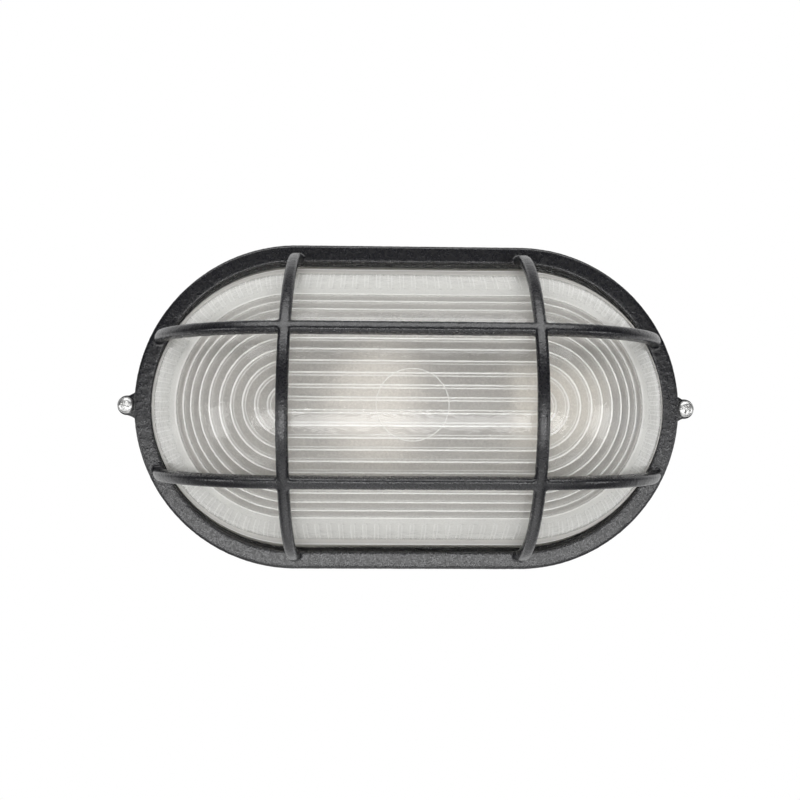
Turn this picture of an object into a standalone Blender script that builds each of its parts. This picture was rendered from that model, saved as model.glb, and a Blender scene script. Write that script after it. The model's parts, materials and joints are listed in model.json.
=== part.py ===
"""Oval bulkhead wall lamp: cast base, ribbed glass dome and a cast cover with its cage.

Everything is modelled in the lamp's own frame: X along the oval, Y up the wall and Z away
from the wall, with Z = 0 on the wall. One empty then stands the lamp up: its face looks
along world -Y and its top along world +Z. All values are metres.
"""

import math

import bmesh
import bpy
from mathutils import Matrix, Vector

MM = 0.001

# Outline shared by every oval piece: two half circles whose centres lie this far from the middle
END_CENTRE = 55.0 * MM
SEAT_GAP = 0.3 * MM

# Cover casting: ring, skirt and lip
COVER_RADIUS = 80.0 * MM
COVER_WALL = 2.6 * MM
COVER_RING_WIDTH = 9.2 * MM
COVER_EDGE_ROUNDING = 1.4 * MM
COVER_LIP_CHAMFER = 0.7 * MM
COVER_SKIRT_OVERLAP = 4.3 * MM

# Cage: bars cast in one piece with the cover
BAR_WIDTH = 4.8 * MM
BAR_DEPTH = 5.6 * MM
BAR_UNDERSIDE_SHARE = 0.72
BAR_CREST_STEPS = 4
BAR_GLASS_CLEARANCE = 3.4 * MM
LEVEL_BAR_OFFSET = 33.1 * MM
LEVEL_BAR_BEND_SET_BACK = 5.0 * MM
LEVEL_BAR_EXTRA_RADIUS = 0.8 * MM
BAR_FOOT_FLARE = 1.5
BAR_FOOT_FLARE_LENGTH = 6.0 * MM
BAR_FOOT_FLARE_CURVE = ((0.5, 0.2), (0.25, 0.5), (0.0, 1.0))
UPRIGHT_BAR_STEPS = 10
LEVEL_BAR_STEPS = 8

# Lugs and the two cover screws
LUG_REACH = 5.4 * MM
LUG_ROOT = 0.5 * MM
LUG_SWEEP = math.radians(100)
LUG_STEPS = 10
COVER_LUG_RADIUS = 5.0 * MM
COVER_LUG_THICKNESS = 7.0 * MM
COVER_LUG_FLARE = 8.6 * MM
RETAINING_WASHER_RADIUS = 5.3 * MM
RETAINING_WASHER_THICKNESS = 1.2 * MM
BASE_LUG_RADIUS = 5.5 * MM
BASE_LUG_FLARE = 8.6 * MM
BASE_LUG_HEIGHT = 21.0 * MM
BASE_LUG_FLOOR = 3.0 * MM
COVER_SCREW_SHANK_RADIUS = 1.9 * MM
COVER_SCREW_HEAD_RADIUS = 4.0 * MM
COVER_SCREW_HEAD_HEIGHT = 2.7 * MM
COVER_SCREW_RECESS_SPAN = 4.4 * MM
COVER_SCREW_RECESS_WIDTH = 1.0 * MM
COVER_SCREW_RECESS_DEPTH = 1.5 * MM
COVER_SCREW_TURN = math.radians(20)
SCREW_CLEARANCE = 0.4 * MM

# Base housing
BASE_DEPTH = 36.0 * MM
BASE_WALL = 2.6 * MM
BASE_BACK = 3.0 * MM
BASE_SHOULDER_INSET = 1.2 * MM
BASE_DRAFT = 1.5 * MM
BASE_LEDGE_SET_BACK = 0.8 * MM
BASE_LEDGE_HEIGHT = 4.0 * MM
BASE_RIM_CLEARANCE = 0.5 * MM
BASE_FOOT_ROUNDING = 1.6 * MM
KNOCKOUT_RADIUS = 10.0 * MM
KNOCKOUT_DEPTH = 1.0 * MM
WALL_HOLE_SET_BACK = 14.0 * MM
WALL_HOLE_RADIUS = 2.6 * MM
WALL_BOSS_RADIUS = 5.5 * MM
WALL_BOSS_HEIGHT = 1.5 * MM

# Rubber gasket, folded round the flange of the glass
GASKET_LIP = 1.4 * MM
GASKET_WEB = 1.4 * MM
GASKET_PLAY = 0.7 * MM

# Glass dome
GLASS_OPENING_CLEARANCE = 1.8 * MM
GLASS_CENTRE_DROP = 12.0 * MM
GLASS_WALL = 4.0 * MM
GLASS_FLANGE_THICKNESS = 4.0 * MM
GLASS_FOOT_FILLET = 1.8 * MM
GLASS_OUTSIDE_STEPS = 12
GLASS_SKIRT_STEPS = 3
RIB_PITCH_ANGLE = math.radians(4.5)
RIB_COUNT = 11
RIB_WIDTH_ANGLE = math.radians(1.5)
RIB_HEIGHT = 0.8 * MM

# Reflector, posts and their screws
POST_HEIGHT = 14.0 * MM
POST_RADIUS = 4.5 * MM
POST_HOLE_DEPTH = 9.0 * MM
REFLECTOR_THICKNESS = 0.8 * MM
REFLECTOR_CLEARANCE = 2.1 * MM
REFLECTOR_EDGE_SLOPE = 6.5 * MM
REFLECTOR_EDGE_HEIGHT = 9.0 * MM
REFLECTOR_POST_REACH = 25.0 * MM
REFLECTOR_POST_Y = 24.0 * MM

# Screws: head outline and tip as shares of the head's size and the shank's radius
PAN_HEAD_CURVE = ((1.0, 0.0), (1.0, 0.45), (0.85, 0.8), (0.45, 1.0))
SCREW_TIP_RADIUS_SHARE = 0.7
SCREW_TIP_HEIGHT_SHARE = 0.5
SMALL_SCREW_SHANK_RADIUS = 1.5 * MM
SMALL_SCREW_HEAD_RADIUS = 3.0 * MM
SMALL_SCREW_HEAD_HEIGHT = 2.0 * MM
SMALL_SCREW_LENGTH = 8.0 * MM

# Bulb and lampholder share one axis, which runs along X
BULB_AXIS_DEPTH = 50.0 * MM
HOLDER_END_DISTANCE = 32.5 * MM
HOLDER_LENGTH = 44.0 * MM
HOLDER_RADIUS = 21.0 * MM
HOLDER_REAR_RADIUS = 18.5 * MM
HOLDER_STEP_LENGTH = 15.0 * MM
HOLDER_CHAMFER = 2.0 * MM
HOLDER_BORE_DEPTH = 30.0 * MM
SHELL_LENGTH = 27.0 * MM
SHELL_WALL = 0.6 * MM
SHELL_HOLE_RADIUS = 6.0 * MM
CONTACT_RADIUS = 3.2 * MM
CONTACT_POST_RADIUS = 1.6 * MM
CONTACT_BASE_THICKNESS = 1.0 * MM
BULB_CAP_RADIUS = 13.2 * MM
BULB_CAP_LENGTH = 25.0 * MM
BULB_LENGTH = 118.0 * MM
BULB_GLOBE_RADIUS = 30.0 * MM
BULB_NECK_RADIUS = 14.5 * MM
BULB_CONTACT_RADIUS = 4.5 * MM
BULB_INSULATOR_LENGTH = 3.5 * MM
BULB_INSULATOR_RADIUS = 9.9 * MM
BULB_CAP_CHAMFER = 1.5 * MM
BULB_COLLAR_LENGTH = 2.0 * MM
BULB_GLOBE_START_SHARE = 0.35
BULB_NECK_STEPS = 4
BULB_ROUND_STEPS = 20
BULB_GLOBE_STEPS = 8
BULB_SEAT = 26.0 * MM

# Bracket: bent strip behind and below the lampholder
BRACKET_THICKNESS = 1.6 * MM
BRACKET_WIDTH = 28.0 * MM
BRACKET_FOOT_LENGTH = 32.0 * MM
BRACKET_TOP_MARGIN = 16.0 * MM
BRACKET_BEND_RADIUS = 3.0 * MM
BRACKET_SCREW_SET_BACK = 16.3 * MM
BRACKET_SCREW_Y = 9.0 * MM
HOLDER_SCREW_OFFSET = 12.0 * MM
HOLDER_SCREW_DEPTH = 7.0 * MM
HOLDER_TERMINAL_OFFSET = 7.0 * MM
HOLDER_TERMINAL_DEPTH = 5.0 * MM

# Terminal block and wires
BLOCK_LENGTH = 22.0 * MM
BLOCK_WIDTH = 18.0 * MM
BLOCK_HEIGHT = 6.6 * MM
BLOCK_ROUNDING = 0.8 * MM
PAD_HEIGHT = 3.0 * MM
TERMINAL_OFFSET = 6.0 * MM
BLOCK_SCREW_SINK = 2.4 * MM
TERMINAL_SCREW_RADIUS = 1.7 * MM
TERMINAL_SCREW_LENGTH = 2.2 * MM
TERMINAL_SCREW_SINK = 0.6 * MM
WIRE_RADIUS = 1.1 * MM
WIRE_CLEARANCE = 0.45 * MM
WIRE_SPACING = 2.0 * MM
WIRE_RISE_DISTANCE = 10.1 * MM
WIRE_HOLE_RADIUS = 6.0 * MM
WIRE_ENTRY_DEPTH = 4.0 * MM
WIRE_BEND_RADIUS = 6.0 * MM
WIRE_BEND_STEPS = 2
WIRE_BEND_SHARE = 0.45
WIRE_STRAIGHT_LENGTH = 24.0 * MM
WIRE_CLOSING_LENGTH = 18.0 * MM

# Earth screw
EARTH_X = -25.0 * MM
EARTH_Y = 32.0 * MM
EARTH_POST_HEIGHT = 7.0 * MM
EARTH_WASHER_RADIUS = 4.0 * MM
EARTH_WASHER_THICKNESS = 0.8 * MM

# Rear cable entry
GROMMET_X = -38.0 * MM
GROMMET_GROOVE_RADIUS = 7.5 * MM
GROMMET_FLANGE_RADIUS = 9.5 * MM
GROMMET_FLANGE = 1.1 * MM
GROMMET_MEMBRANE = 0.9 * MM
GROMMET_BORE_RADIUS = 5.0 * MM
ENTRY_RECESS_DEPTH = 1.5 * MM

# Facets
END_STEPS = 8
COVER_END_STEPS = 11
ROUND_STEPS = 16
SMALL_ROUND_STEPS = 12
HOLE_STEPS = 8

# Depths that stack up from the wall
SHOULDER_Z = BASE_DEPTH - COVER_SKIRT_OVERLAP
FLANGE_Z = BASE_DEPTH + GASKET_LIP + 2 * SEAT_GAP
FLANGE_TOP_Z = FLANGE_Z + GLASS_FLANGE_THICKNESS
COVER_UNDERSIDE_Z = FLANGE_TOP_Z + GASKET_LIP + 2 * SEAT_GAP
RING_Z = COVER_UNDERSIDE_Z + COVER_WALL
COVER_LUG_Z = SHOULDER_Z + SEAT_GAP
COVER_LUG_TOP_Z = COVER_LUG_Z + COVER_LUG_THICKNESS
WASHER_Z = COVER_LUG_Z - SEAT_GAP - RETAINING_WASHER_THICKNESS
BASE_LUG_TOP_Z = WASHER_Z - SEAT_GAP
POST_TOP_Z = POST_HEIGHT
REFLECTOR_Z = POST_TOP_Z + SEAT_GAP
REFLECTOR_TOP_Z = REFLECTOR_Z + REFLECTOR_THICKNESS
BRACKET_Z = REFLECTOR_TOP_Z + SEAT_GAP
BLOCK_Z = BASE_BACK + PAD_HEIGHT + SEAT_GAP

# Radii and distances that follow from their neighbours
SKIRT_INNER_RADIUS = COVER_RADIUS - COVER_WALL
COVER_OPENING_RADIUS = COVER_RADIUS - COVER_RING_WIDTH
LUG_OFFSET = END_CENTRE + COVER_RADIUS + LUG_REACH
RIM_RADIUS = SKIRT_INNER_RADIUS - BASE_RIM_CLEARANCE
BASE_SHOULDER_RADIUS = COVER_RADIUS - BASE_SHOULDER_INSET
BASE_LEDGE_RADIUS = COVER_OPENING_RADIUS + BASE_LEDGE_SET_BACK
GASKET_OUTER_RADIUS = SKIRT_INNER_RADIUS - GASKET_PLAY
GLASS_FLANGE_RADIUS = GASKET_OUTER_RADIUS - GASKET_WEB - SEAT_GAP
GLASS_RADIUS = COVER_OPENING_RADIUS - GLASS_OPENING_CLEARANCE
UPRIGHT_BAR_RADIUS = GLASS_RADIUS + BAR_GLASS_CLEARANCE + BAR_DEPTH / 2
LEVEL_BAR_BEND_RADIUS = UPRIGHT_BAR_RADIUS + LEVEL_BAR_EXTRA_RADIUS
LEVEL_BAR_BEND_START = END_CENTRE - LEVEL_BAR_BEND_SET_BACK
REFLECTOR_RADIUS = BASE_LEDGE_RADIUS - REFLECTOR_CLEARANCE
REFLECTOR_FLOOR_RADIUS = REFLECTOR_RADIUS - REFLECTOR_EDGE_SLOPE
REFLECTOR_POST_X = -END_CENTRE - REFLECTOR_POST_REACH
HOLDER_REAR_X = END_CENTRE + REFLECTOR_RADIUS - HOLDER_END_DISTANCE
HOLDER_MOUTH_X = HOLDER_REAR_X - HOLDER_LENGTH
BRACKET_X = HOLDER_REAR_X + SEAT_GAP
BRACKET_SCREW_X = BRACKET_X - BRACKET_SCREW_SET_BACK
WALL_HOLE_OFFSET = BRACKET_SCREW_X - WALL_HOLE_SET_BACK
WIRE_RISE_X = BRACKET_X + BRACKET_THICKNESS + WIRE_RISE_DISTANCE
BORE_FLOOR_X = HOLDER_MOUTH_X + HOLDER_BORE_DEPTH
BULB_BASE_X = HOLDER_MOUTH_X + BULB_SEAT
SHELL_INNER_RADIUS = BULB_CAP_RADIUS + SEAT_GAP
SHELL_OUTER_RADIUS = SHELL_INNER_RADIUS + SHELL_WALL
HOLDER_BORE_RADIUS = SHELL_OUTER_RADIUS + SEAT_GAP


def clear_scene():
    for obj in list(bpy.data.objects):
        bpy.data.objects.remove(obj, do_unlink=True)


def new_collection(name, hidden=False):
    group = bpy.data.collections.new(name)
    group.hide_render = hidden
    bpy.context.scene.collection.children.link(group)
    return group


def new_material(name, color, roughness, metallic=0.0, transmission=0.0):
    material = bpy.data.materials.new(name)
    material.use_nodes = True
    shader = material.node_tree.nodes["Principled BSDF"]
    shader.inputs["Base Color"].default_value = (*color, 1.0)
    shader.inputs["Roughness"].default_value = roughness
    shader.inputs["Metallic"].default_value = metallic
    shader.inputs["Transmission Weight"].default_value = transmission
    return material


clear_scene()
PARTS = new_collection("bulkhead_wall_lamp")
CUTTERS = new_collection("cutters", hidden=True)
STAND = bpy.data.objects.new("stand_upright", None)
STAND.rotation_euler = (math.pi / 2, 0.0, 0.0)
PARTS.objects.link(STAND)

BLACK_COAT = new_material("black_powder_coat", (0.035, 0.035, 0.038), 0.55)
GLASS = new_material("frosted_glass", (0.80, 0.80, 0.77), 0.30, transmission=0.8)
RUBBER = new_material("black_rubber", (0.02, 0.02, 0.02), 0.75)
ZINC = new_material("zinc_plate", (0.75, 0.75, 0.73), 0.30, metallic=1.0)
NYLON = new_material("natural_nylon", (0.62, 0.62, 0.60), 0.45)
ALUMINIUM = new_material("bright_aluminium", (0.80, 0.80, 0.79), 0.35, metallic=1.0)
PORCELAIN = new_material("white_porcelain", (0.86, 0.83, 0.75), 0.20)
BRASS = new_material("brass", (0.80, 0.62, 0.30), 0.30, metallic=1.0)
OPAL = new_material("opal_glass", (0.90, 0.88, 0.84), 0.25)
BROWN_SLEEVE = new_material("brown_sleeve", (0.16, 0.07, 0.03), 0.50)
BLUE_SLEEVE = new_material("blue_sleeve", (0.03, 0.10, 0.35), 0.50)


# Ways of making a solid


def add_mesh(name, bm, material=None, smooth_angle=40.0):
    """Turns a bmesh into an object; one with no material is a cutter or a shape to be joined."""
    mesh = bpy.data.meshes.new(name)
    bm.to_mesh(mesh)
    bm.free()
    obj = bpy.data.objects.new(name, mesh)
    obj.parent = STAND
    if material is None:
        CUTTERS.objects.link(obj)
        obj.hide_render = True
        obj.display_type = "WIRE"
        return obj
    PARTS.objects.link(obj)
    mesh.materials.append(material)
    mesh.shade_smooth()
    mesh.set_sharp_from_angle(angle=math.radians(smooth_angle))
    return obj


def add_mirror(obj, across_x=False, across_y=False):
    mirror = obj.modifiers.new("mirror", "MIRROR")
    mirror.use_axis = (across_x, across_y, False)
    mirror.merge_threshold = 0.00001


def combine(target, other, operation):
    """Adds a Boolean modifier; UNION joins the other shape, DIFFERENCE cuts it away."""
    boolean = target.modifiers.new(operation.lower(), "BOOLEAN")
    boolean.operation = operation
    boolean.object = other


def oval(name, profile, material=None, steps=END_STEPS, closed=True):
    """Carries a profile of (radius, height) points round the oval.

    The profile runs anticlockwise as seen with the radius to the right. A closed one makes a
    ring; an open one starts and ends on the spine between the two end centres. One quarter is
    turned and pulled straight, and a Mirror makes the rest.
    """
    bm = bmesh.new()
    row = [bm.verts.new((END_CENTRE + radius, 0.0, height)) for radius, height in profile]
    edges = [bm.edges.new(pair) for pair in zip(row, row[1:])]
    if closed:
        edges.append(bm.edges.new((row[-1], row[0])))
    turned = bmesh.ops.spin(
        bm,
        geom=row + edges,
        cent=(END_CENTRE, 0.0, 0.0),
        axis=(0.0, 0.0, 1.0),
        angle=math.pi / 2,
        steps=steps,
    )
    last = [item for item in turned["geom_last"] if isinstance(item, bmesh.types.BMEdge)]
    pulled = bmesh.ops.extrude_edge_only(bm, edges=last)["geom"]
    moved = [item for item in pulled if isinstance(item, bmesh.types.BMVert)]
    bmesh.ops.translate(bm, verts=moved, vec=(-END_CENTRE, 0.0, 0.0))
    bmesh.ops.remove_doubles(bm, verts=bm.verts, dist=0.000001)
    bmesh.ops.reverse_faces(bm, faces=bm.faces)
    obj = add_mesh(name, bm, material)
    add_mirror(obj, across_x=True, across_y=True)
    return obj


def turned(name, profile, axis, place, material=None, steps=ROUND_STEPS):
    """Turns a profile of (radius, height) points, which runs anticlockwise, about its own axis.

    The axis is a direction in the lamp's frame, and place is where the profile's height 0 lies.
    """
    bm = bmesh.new()
    row = [bm.verts.new((radius, 0.0, height)) for radius, height in profile]
    edges = [bm.edges.new(pair) for pair in zip(row, row[1:])]
    if profile[0][0] > 0.0:
        edges.append(bm.edges.new((row[-1], row[0])))
    bmesh.ops.spin(
        bm,
        geom=row + edges,
        cent=(0.0, 0.0, 0.0),
        axis=(0.0, 0.0, 1.0),
        angle=2 * math.pi,
        steps=steps,
        use_merge=True,
    )
    bmesh.ops.remove_doubles(bm, verts=bm.verts, dist=0.000001)
    bmesh.ops.reverse_faces(bm, faces=bm.faces)
    turn = Vector((0.0, 0.0, 1.0)).rotation_difference(Vector(axis)).to_matrix().to_4x4()
    bmesh.ops.transform(bm, matrix=turn, verts=bm.verts)
    obj = add_mesh(name, bm, material)
    obj.location = place
    return obj


def disc(radius, low, high):
    """Profile of a plain cylinder between two heights."""
    return [(0.0, low), (radius, low), (radius, high), (0.0, high)]


def post(name, radius, x, y, low, high, steps=ROUND_STEPS):
    """Upright cylinder, to be joined or cut away."""
    return turned(name, disc(radius, low, high), (0, 0, 1), (x, y, 0.0), steps=steps)


def block(name, size, place, material=None):
    bm = bmesh.new()
    bmesh.ops.create_cube(bm, size=1.0)
    bmesh.ops.scale(bm, vec=size, verts=bm.verts)
    obj = add_mesh(name, bm, material)
    obj.location = place
    return obj


def plate(name, outline, thickness, to_frame, material=None):
    """Flat outline with a thickness, centred on its own plane and placed by a matrix."""
    curve = bpy.data.curves.new(name, "CURVE")
    curve.dimensions = "2D"
    curve.fill_mode = "BOTH"
    curve.extrude = thickness / 2
    spline = curve.splines.new("POLY")
    spline.points.add(len(outline) - 1)
    for point, (x, y) in zip(spline.points, outline):
        point.co = (x, y, 0.0, 1.0)
    spline.use_cyclic_u = True
    guide = bpy.data.objects.new(name + "_outline", curve)
    CUTTERS.objects.link(guide)
    bpy.context.view_layer.update()
    graph = bpy.context.evaluated_depsgraph_get()
    mesh = bpy.data.meshes.new_from_object(guide.evaluated_get(graph))
    bpy.data.objects.remove(guide)
    bm = bmesh.new()
    bm.from_mesh(mesh)
    bpy.data.meshes.remove(mesh)
    bmesh.ops.remove_doubles(bm, verts=bm.verts, dist=0.000001)
    bmesh.ops.dissolve_limit(bm, angle_limit=0.01, verts=bm.verts, edges=bm.edges)
    bmesh.ops.transform(bm, matrix=to_frame, verts=bm.verts)
    return add_mesh(name, bm, material)


def arc(centre, radius, start, end, steps):
    """Points of a circular arc, angles in radians."""
    turns = [start + (end - start) * step / steps for step in range(steps + 1)]
    return [
        (centre[0] + radius * math.cos(turn), centre[1] + radius * math.sin(turn))
        for turn in turns
    ]


# Cover casting with its cage


def bar_section():
    """Cast bar seen end on: flat below, sides drawn in a little and a round crest.

    The first number is across the bar, the second is outwards from the lamp.
    """
    half = BAR_WIDTH / 2
    bottom = -BAR_DEPTH / 2
    crest = arc((0.0, BAR_DEPTH / 2 - half), half, 0.0, math.pi, BAR_CREST_STEPS)
    foot = BAR_UNDERSIDE_SHARE * half
    return [(-foot, bottom), (foot, bottom)] + crest


def half_bar(bend_start, bend_radius, bend_centre_z, foot_z, steps):
    """Half of an arched bar in the XZ plane, from the mirror plane X = 0 down to its foot."""
    reach = math.acos((foot_z - bend_centre_z) / bend_radius)
    top = bend_centre_z + bend_radius
    flare_angle = BAR_FOOT_FLARE_LENGTH / bend_radius
    plain_reach = reach - flare_angle
    stations = [(plain_reach * step / steps, 1.0) for step in range(steps + 1)]
    for left, share in BAR_FOOT_FLARE_CURVE:
        stations.append((reach - left * flare_angle, 1 + (BAR_FOOT_FLARE - 1) * share))
    bm = bmesh.new()
    rows = []
    if bend_start > 0.0:
        rows.append([bm.verts.new((0.0, across, top + out)) for across, out in bar_section()])
    centre = Vector((bend_start, 0.0, bend_centre_z))
    for angle, flare in stations:
        outward = Vector((math.sin(angle), 0.0, math.cos(angle)))
        row = []
        for across, out in bar_section():
            sideways = Vector((0.0, across * flare, 0.0))
            row.append(bm.verts.new(centre + outward * (bend_radius + out) + sideways))
        rows.append(row)
    for row, following in zip(rows, rows[1:]):
        for index, vert in enumerate(row):
            bm.faces.new((row[index - 1], vert, following[index], following[index - 1]))
    bm.faces.new(rows[-1])
    bmesh.ops.recalc_face_normals(bm, faces=bm.faces)
    return bm


def level_bar(name, y):
    centre_z = RING_Z - GLASS_CENTRE_DROP
    crossing = math.sqrt(UPRIGHT_BAR_RADIUS**2 - LEVEL_BAR_OFFSET**2)
    bend_centre_z = centre_z + crossing - LEVEL_BAR_BEND_RADIUS
    foot_z = RING_Z - COVER_WALL / 2
    bend_start = LEVEL_BAR_BEND_START
    bm = half_bar(bend_start, LEVEL_BAR_BEND_RADIUS, bend_centre_z, foot_z, LEVEL_BAR_STEPS)
    bmesh.ops.translate(bm, verts=bm.verts, vec=(0.0, y, 0.0))
    bar = add_mesh(name, bm)
    add_mirror(bar, across_x=True)
    return bar


def upright_bar(name, x):
    centre_z = RING_Z - GLASS_CENTRE_DROP
    foot_z = RING_Z - COVER_WALL / 2
    bm = half_bar(0.0, UPRIGHT_BAR_RADIUS, centre_z, foot_z, UPRIGHT_BAR_STEPS)
    bmesh.ops.rotate(bm, verts=bm.verts, matrix=Matrix.Rotation(math.pi / 2, 3, "Z"))
    bmesh.ops.translate(bm, verts=bm.verts, vec=(x, 0.0, 0.0))
    bar = add_mesh(name, bm)
    add_mirror(bar, across_y=True)
    return bar


def lug_outline(radius, wall_x, flare):
    """Round lug that widens towards the wall that carries it, seen along Z, at +X."""
    rounded = arc((LUG_OFFSET, 0.0), radius, -LUG_SWEEP, LUG_SWEEP, LUG_STEPS)
    return [(wall_x, -flare)] + rounded + [(wall_x, flare)]


def lug(name, radius, wall_x, flare, low, high, side):
    upright = Matrix.Translation((0.0, 0.0, (low + high) / 2))
    turn = Matrix.Rotation(0.0 if side > 0 else math.pi, 4, "Z")
    return plate(name, lug_outline(radius, wall_x, flare), high - low, turn @ upright)


def cover_profile():
    rounding = COVER_EDGE_ROUNDING
    skirt_bottom = SHOULDER_Z + SEAT_GAP
    outer_edge = arc((COVER_RADIUS - rounding, RING_Z - rounding), rounding, 0.0, math.pi / 2, 3)
    return [
        (SKIRT_INNER_RADIUS, skirt_bottom),
        (COVER_RADIUS, skirt_bottom),
        *outer_edge,
        (COVER_OPENING_RADIUS + COVER_LIP_CHAMFER, RING_Z),
        (COVER_OPENING_RADIUS, RING_Z - COVER_LIP_CHAMFER),
        (COVER_OPENING_RADIUS, COVER_UNDERSIDE_Z),
        (SKIRT_INNER_RADIUS, COVER_UNDERSIDE_Z),
    ]


def make_cover():
    cover = oval("cover_cage", cover_profile(), BLACK_COAT, steps=COVER_END_STEPS)
    for number, x in enumerate((-END_CENTRE, END_CENTRE), 1):
        combine(cover, upright_bar(f"upright_bar_{number}", x), "UNION")
    for number, y in enumerate((-LEVEL_BAR_OFFSET, LEVEL_BAR_OFFSET), 1):
        combine(cover, level_bar(f"level_bar_{number}", y), "UNION")
    wall_x = END_CENTRE + SKIRT_INNER_RADIUS + LUG_ROOT
    hole_radius = COVER_SCREW_SHANK_RADIUS + SCREW_CLEARANCE
    low = COVER_LUG_Z - COVER_WALL
    high = COVER_LUG_TOP_Z + COVER_WALL
    for side in (-1, 1):
        tongue = lug(
            f"cover_lug_{side}",
            COVER_LUG_RADIUS,
            wall_x,
            COVER_LUG_FLARE,
            COVER_LUG_Z,
            COVER_LUG_TOP_Z,
            side,
        )
        combine(cover, tongue, "UNION")
        x = side * LUG_OFFSET
        hole = post(f"cover_lug_hole_{side}", hole_radius, x, 0.0, low, high, SMALL_ROUND_STEPS)
        combine(cover, hole, "DIFFERENCE")


# Base housing


def base_wall_radius(z):
    """Outer radius of the drafted wall at a height."""
    return BASE_SHOULDER_RADIUS - BASE_DRAFT * (1 - z / SHOULDER_Z)


def base_profile():
    ledge_z = BASE_DEPTH - BASE_LEDGE_HEIGHT
    under_ledge = base_wall_radius(ledge_z) - BASE_WALL
    chamfer = under_ledge - BASE_LEDGE_RADIUS
    foot = BASE_FOOT_ROUNDING
    inner_floor = base_wall_radius(BASE_BACK) - BASE_WALL
    return [
        (0.0, 0.0),
        (base_wall_radius(0.0) - foot, 0.0),
        (base_wall_radius(foot), foot),
        (BASE_SHOULDER_RADIUS, SHOULDER_Z),
        (RIM_RADIUS, SHOULDER_Z),
        (RIM_RADIUS, BASE_DEPTH),
        (BASE_LEDGE_RADIUS, BASE_DEPTH),
        (BASE_LEDGE_RADIUS, ledge_z),
        (base_wall_radius(ledge_z - chamfer) - BASE_WALL, ledge_z - chamfer),
        (inner_floor, BASE_BACK + foot),
        (inner_floor - foot, BASE_BACK),
        (0.0, BASE_BACK),
    ]


def reflector_posts():
    """Where the posts stand that carry the reflector, its screws and the bracket's."""
    return {
        "reflector_screw_top": (REFLECTOR_POST_X, REFLECTOR_POST_Y),
        "reflector_screw_bottom": (REFLECTOR_POST_X, -REFLECTOR_POST_Y),
        "bracket_screw_top": (BRACKET_SCREW_X, BRACKET_SCREW_Y),
        "bracket_screw_bottom": (BRACKET_SCREW_X, -BRACKET_SCREW_Y),
    }


def threaded_post(base, name, place, top, depth):
    """Raises a post from the floor of the base and drills it for a screw."""
    x, y = place
    shaft = post(name + "_post", POST_RADIUS, x, y, BASE_BACK / 2, top, SMALL_ROUND_STEPS)
    combine(base, shaft, "UNION")
    bore = SMALL_SCREW_SHANK_RADIUS + SEAT_GAP
    hole = post(name + "_hole", bore, x, y, top - depth, top + BASE_WALL, HOLE_STEPS)
    combine(base, hole, "DIFFERENCE")


def make_base():
    base = oval("base_housing", base_profile(), BLACK_COAT, closed=False)
    floor_z = BASE_BACK / 2
    for name, (x, y) in reflector_posts().items():
        threaded_post(base, name, (x, y), POST_TOP_Z, POST_HOLE_DEPTH)
    earth_top = BASE_BACK + EARTH_POST_HEIGHT
    threaded_post(base, "earth", (EARTH_X, EARTH_Y), earth_top, SMALL_SCREW_LENGTH)
    pad_top = BASE_BACK + PAD_HEIGHT
    pad = block(
        "terminal_pad",
        (BLOCK_LENGTH, BLOCK_WIDTH, pad_top - floor_z),
        (0.0, 0.0, (pad_top + floor_z) / 2),
    )
    combine(base, pad, "UNION")
    bore = SMALL_SCREW_SHANK_RADIUS + SEAT_GAP
    hole = post("terminal_pad_hole", bore, 0.0, 0.0, floor_z, pad_top + BASE_WALL, HOLE_STEPS)
    combine(base, hole, "DIFFERENCE")
    boss_top = BASE_BACK + WALL_BOSS_HEIGHT
    hole_top = boss_top + BASE_BACK
    for side in (-1, 1):
        x = side * WALL_HOLE_OFFSET
        boss = post(f"wall_boss_{side}", WALL_BOSS_RADIUS, x, 0.0, floor_z, boss_top, SMALL_ROUND_STEPS)
        combine(base, boss, "UNION")
        hole = post(f"wall_hole_{side}", WALL_HOLE_RADIUS, x, 0.0, -BASE_BACK, hole_top, SMALL_ROUND_STEPS)
        combine(base, hole, "DIFFERENCE")
    lug_low = BASE_LUG_TOP_Z - BASE_LUG_HEIGHT
    wall_x = END_CENTRE + base_wall_radius(lug_low) - BASE_WALL / 2
    shank_hole = COVER_SCREW_SHANK_RADIUS + SEAT_GAP
    low = lug_low + BASE_LUG_FLOOR
    high = BASE_LUG_TOP_Z + BASE_WALL
    for side in (-1, 1):
        boss = lug(
            f"base_lug_{side}",
            BASE_LUG_RADIUS,
            wall_x,
            BASE_LUG_FLARE,
            lug_low,
            BASE_LUG_TOP_Z,
            side,
        )
        combine(base, boss, "UNION")
        x = side * LUG_OFFSET
        hole = post(f"base_lug_hole_{side}", shank_hole, x, 0.0, low, high, SMALL_ROUND_STEPS)
        combine(base, hole, "DIFFERENCE")
    knockout_z = SHOULDER_Z / 2
    for side in (-1, 1):
        face = base_wall_radius(knockout_z) - KNOCKOUT_DEPTH
        recess = turned(
            f"knockout_{side}",
            disc(KNOCKOUT_RADIUS, 0.0, 3 * KNOCKOUT_DEPTH),
            (0, side, 0),
            (0.0, side * face, knockout_z),
        )
        combine(base, recess, "DIFFERENCE")
    entry_radius = GROMMET_GROOVE_RADIUS + SEAT_GAP
    entry = post("entry_hole", entry_radius, GROMMET_X, 0.0, -BASE_BACK, 2 * BASE_BACK)
    combine(base, entry, "DIFFERENCE")
    recess_radius = GROMMET_FLANGE_RADIUS + SEAT_GAP
    sink = post("entry_recess", recess_radius, GROMMET_X, 0.0, -BASE_BACK, ENTRY_RECESS_DEPTH)
    combine(base, sink, "DIFFERENCE")


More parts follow.
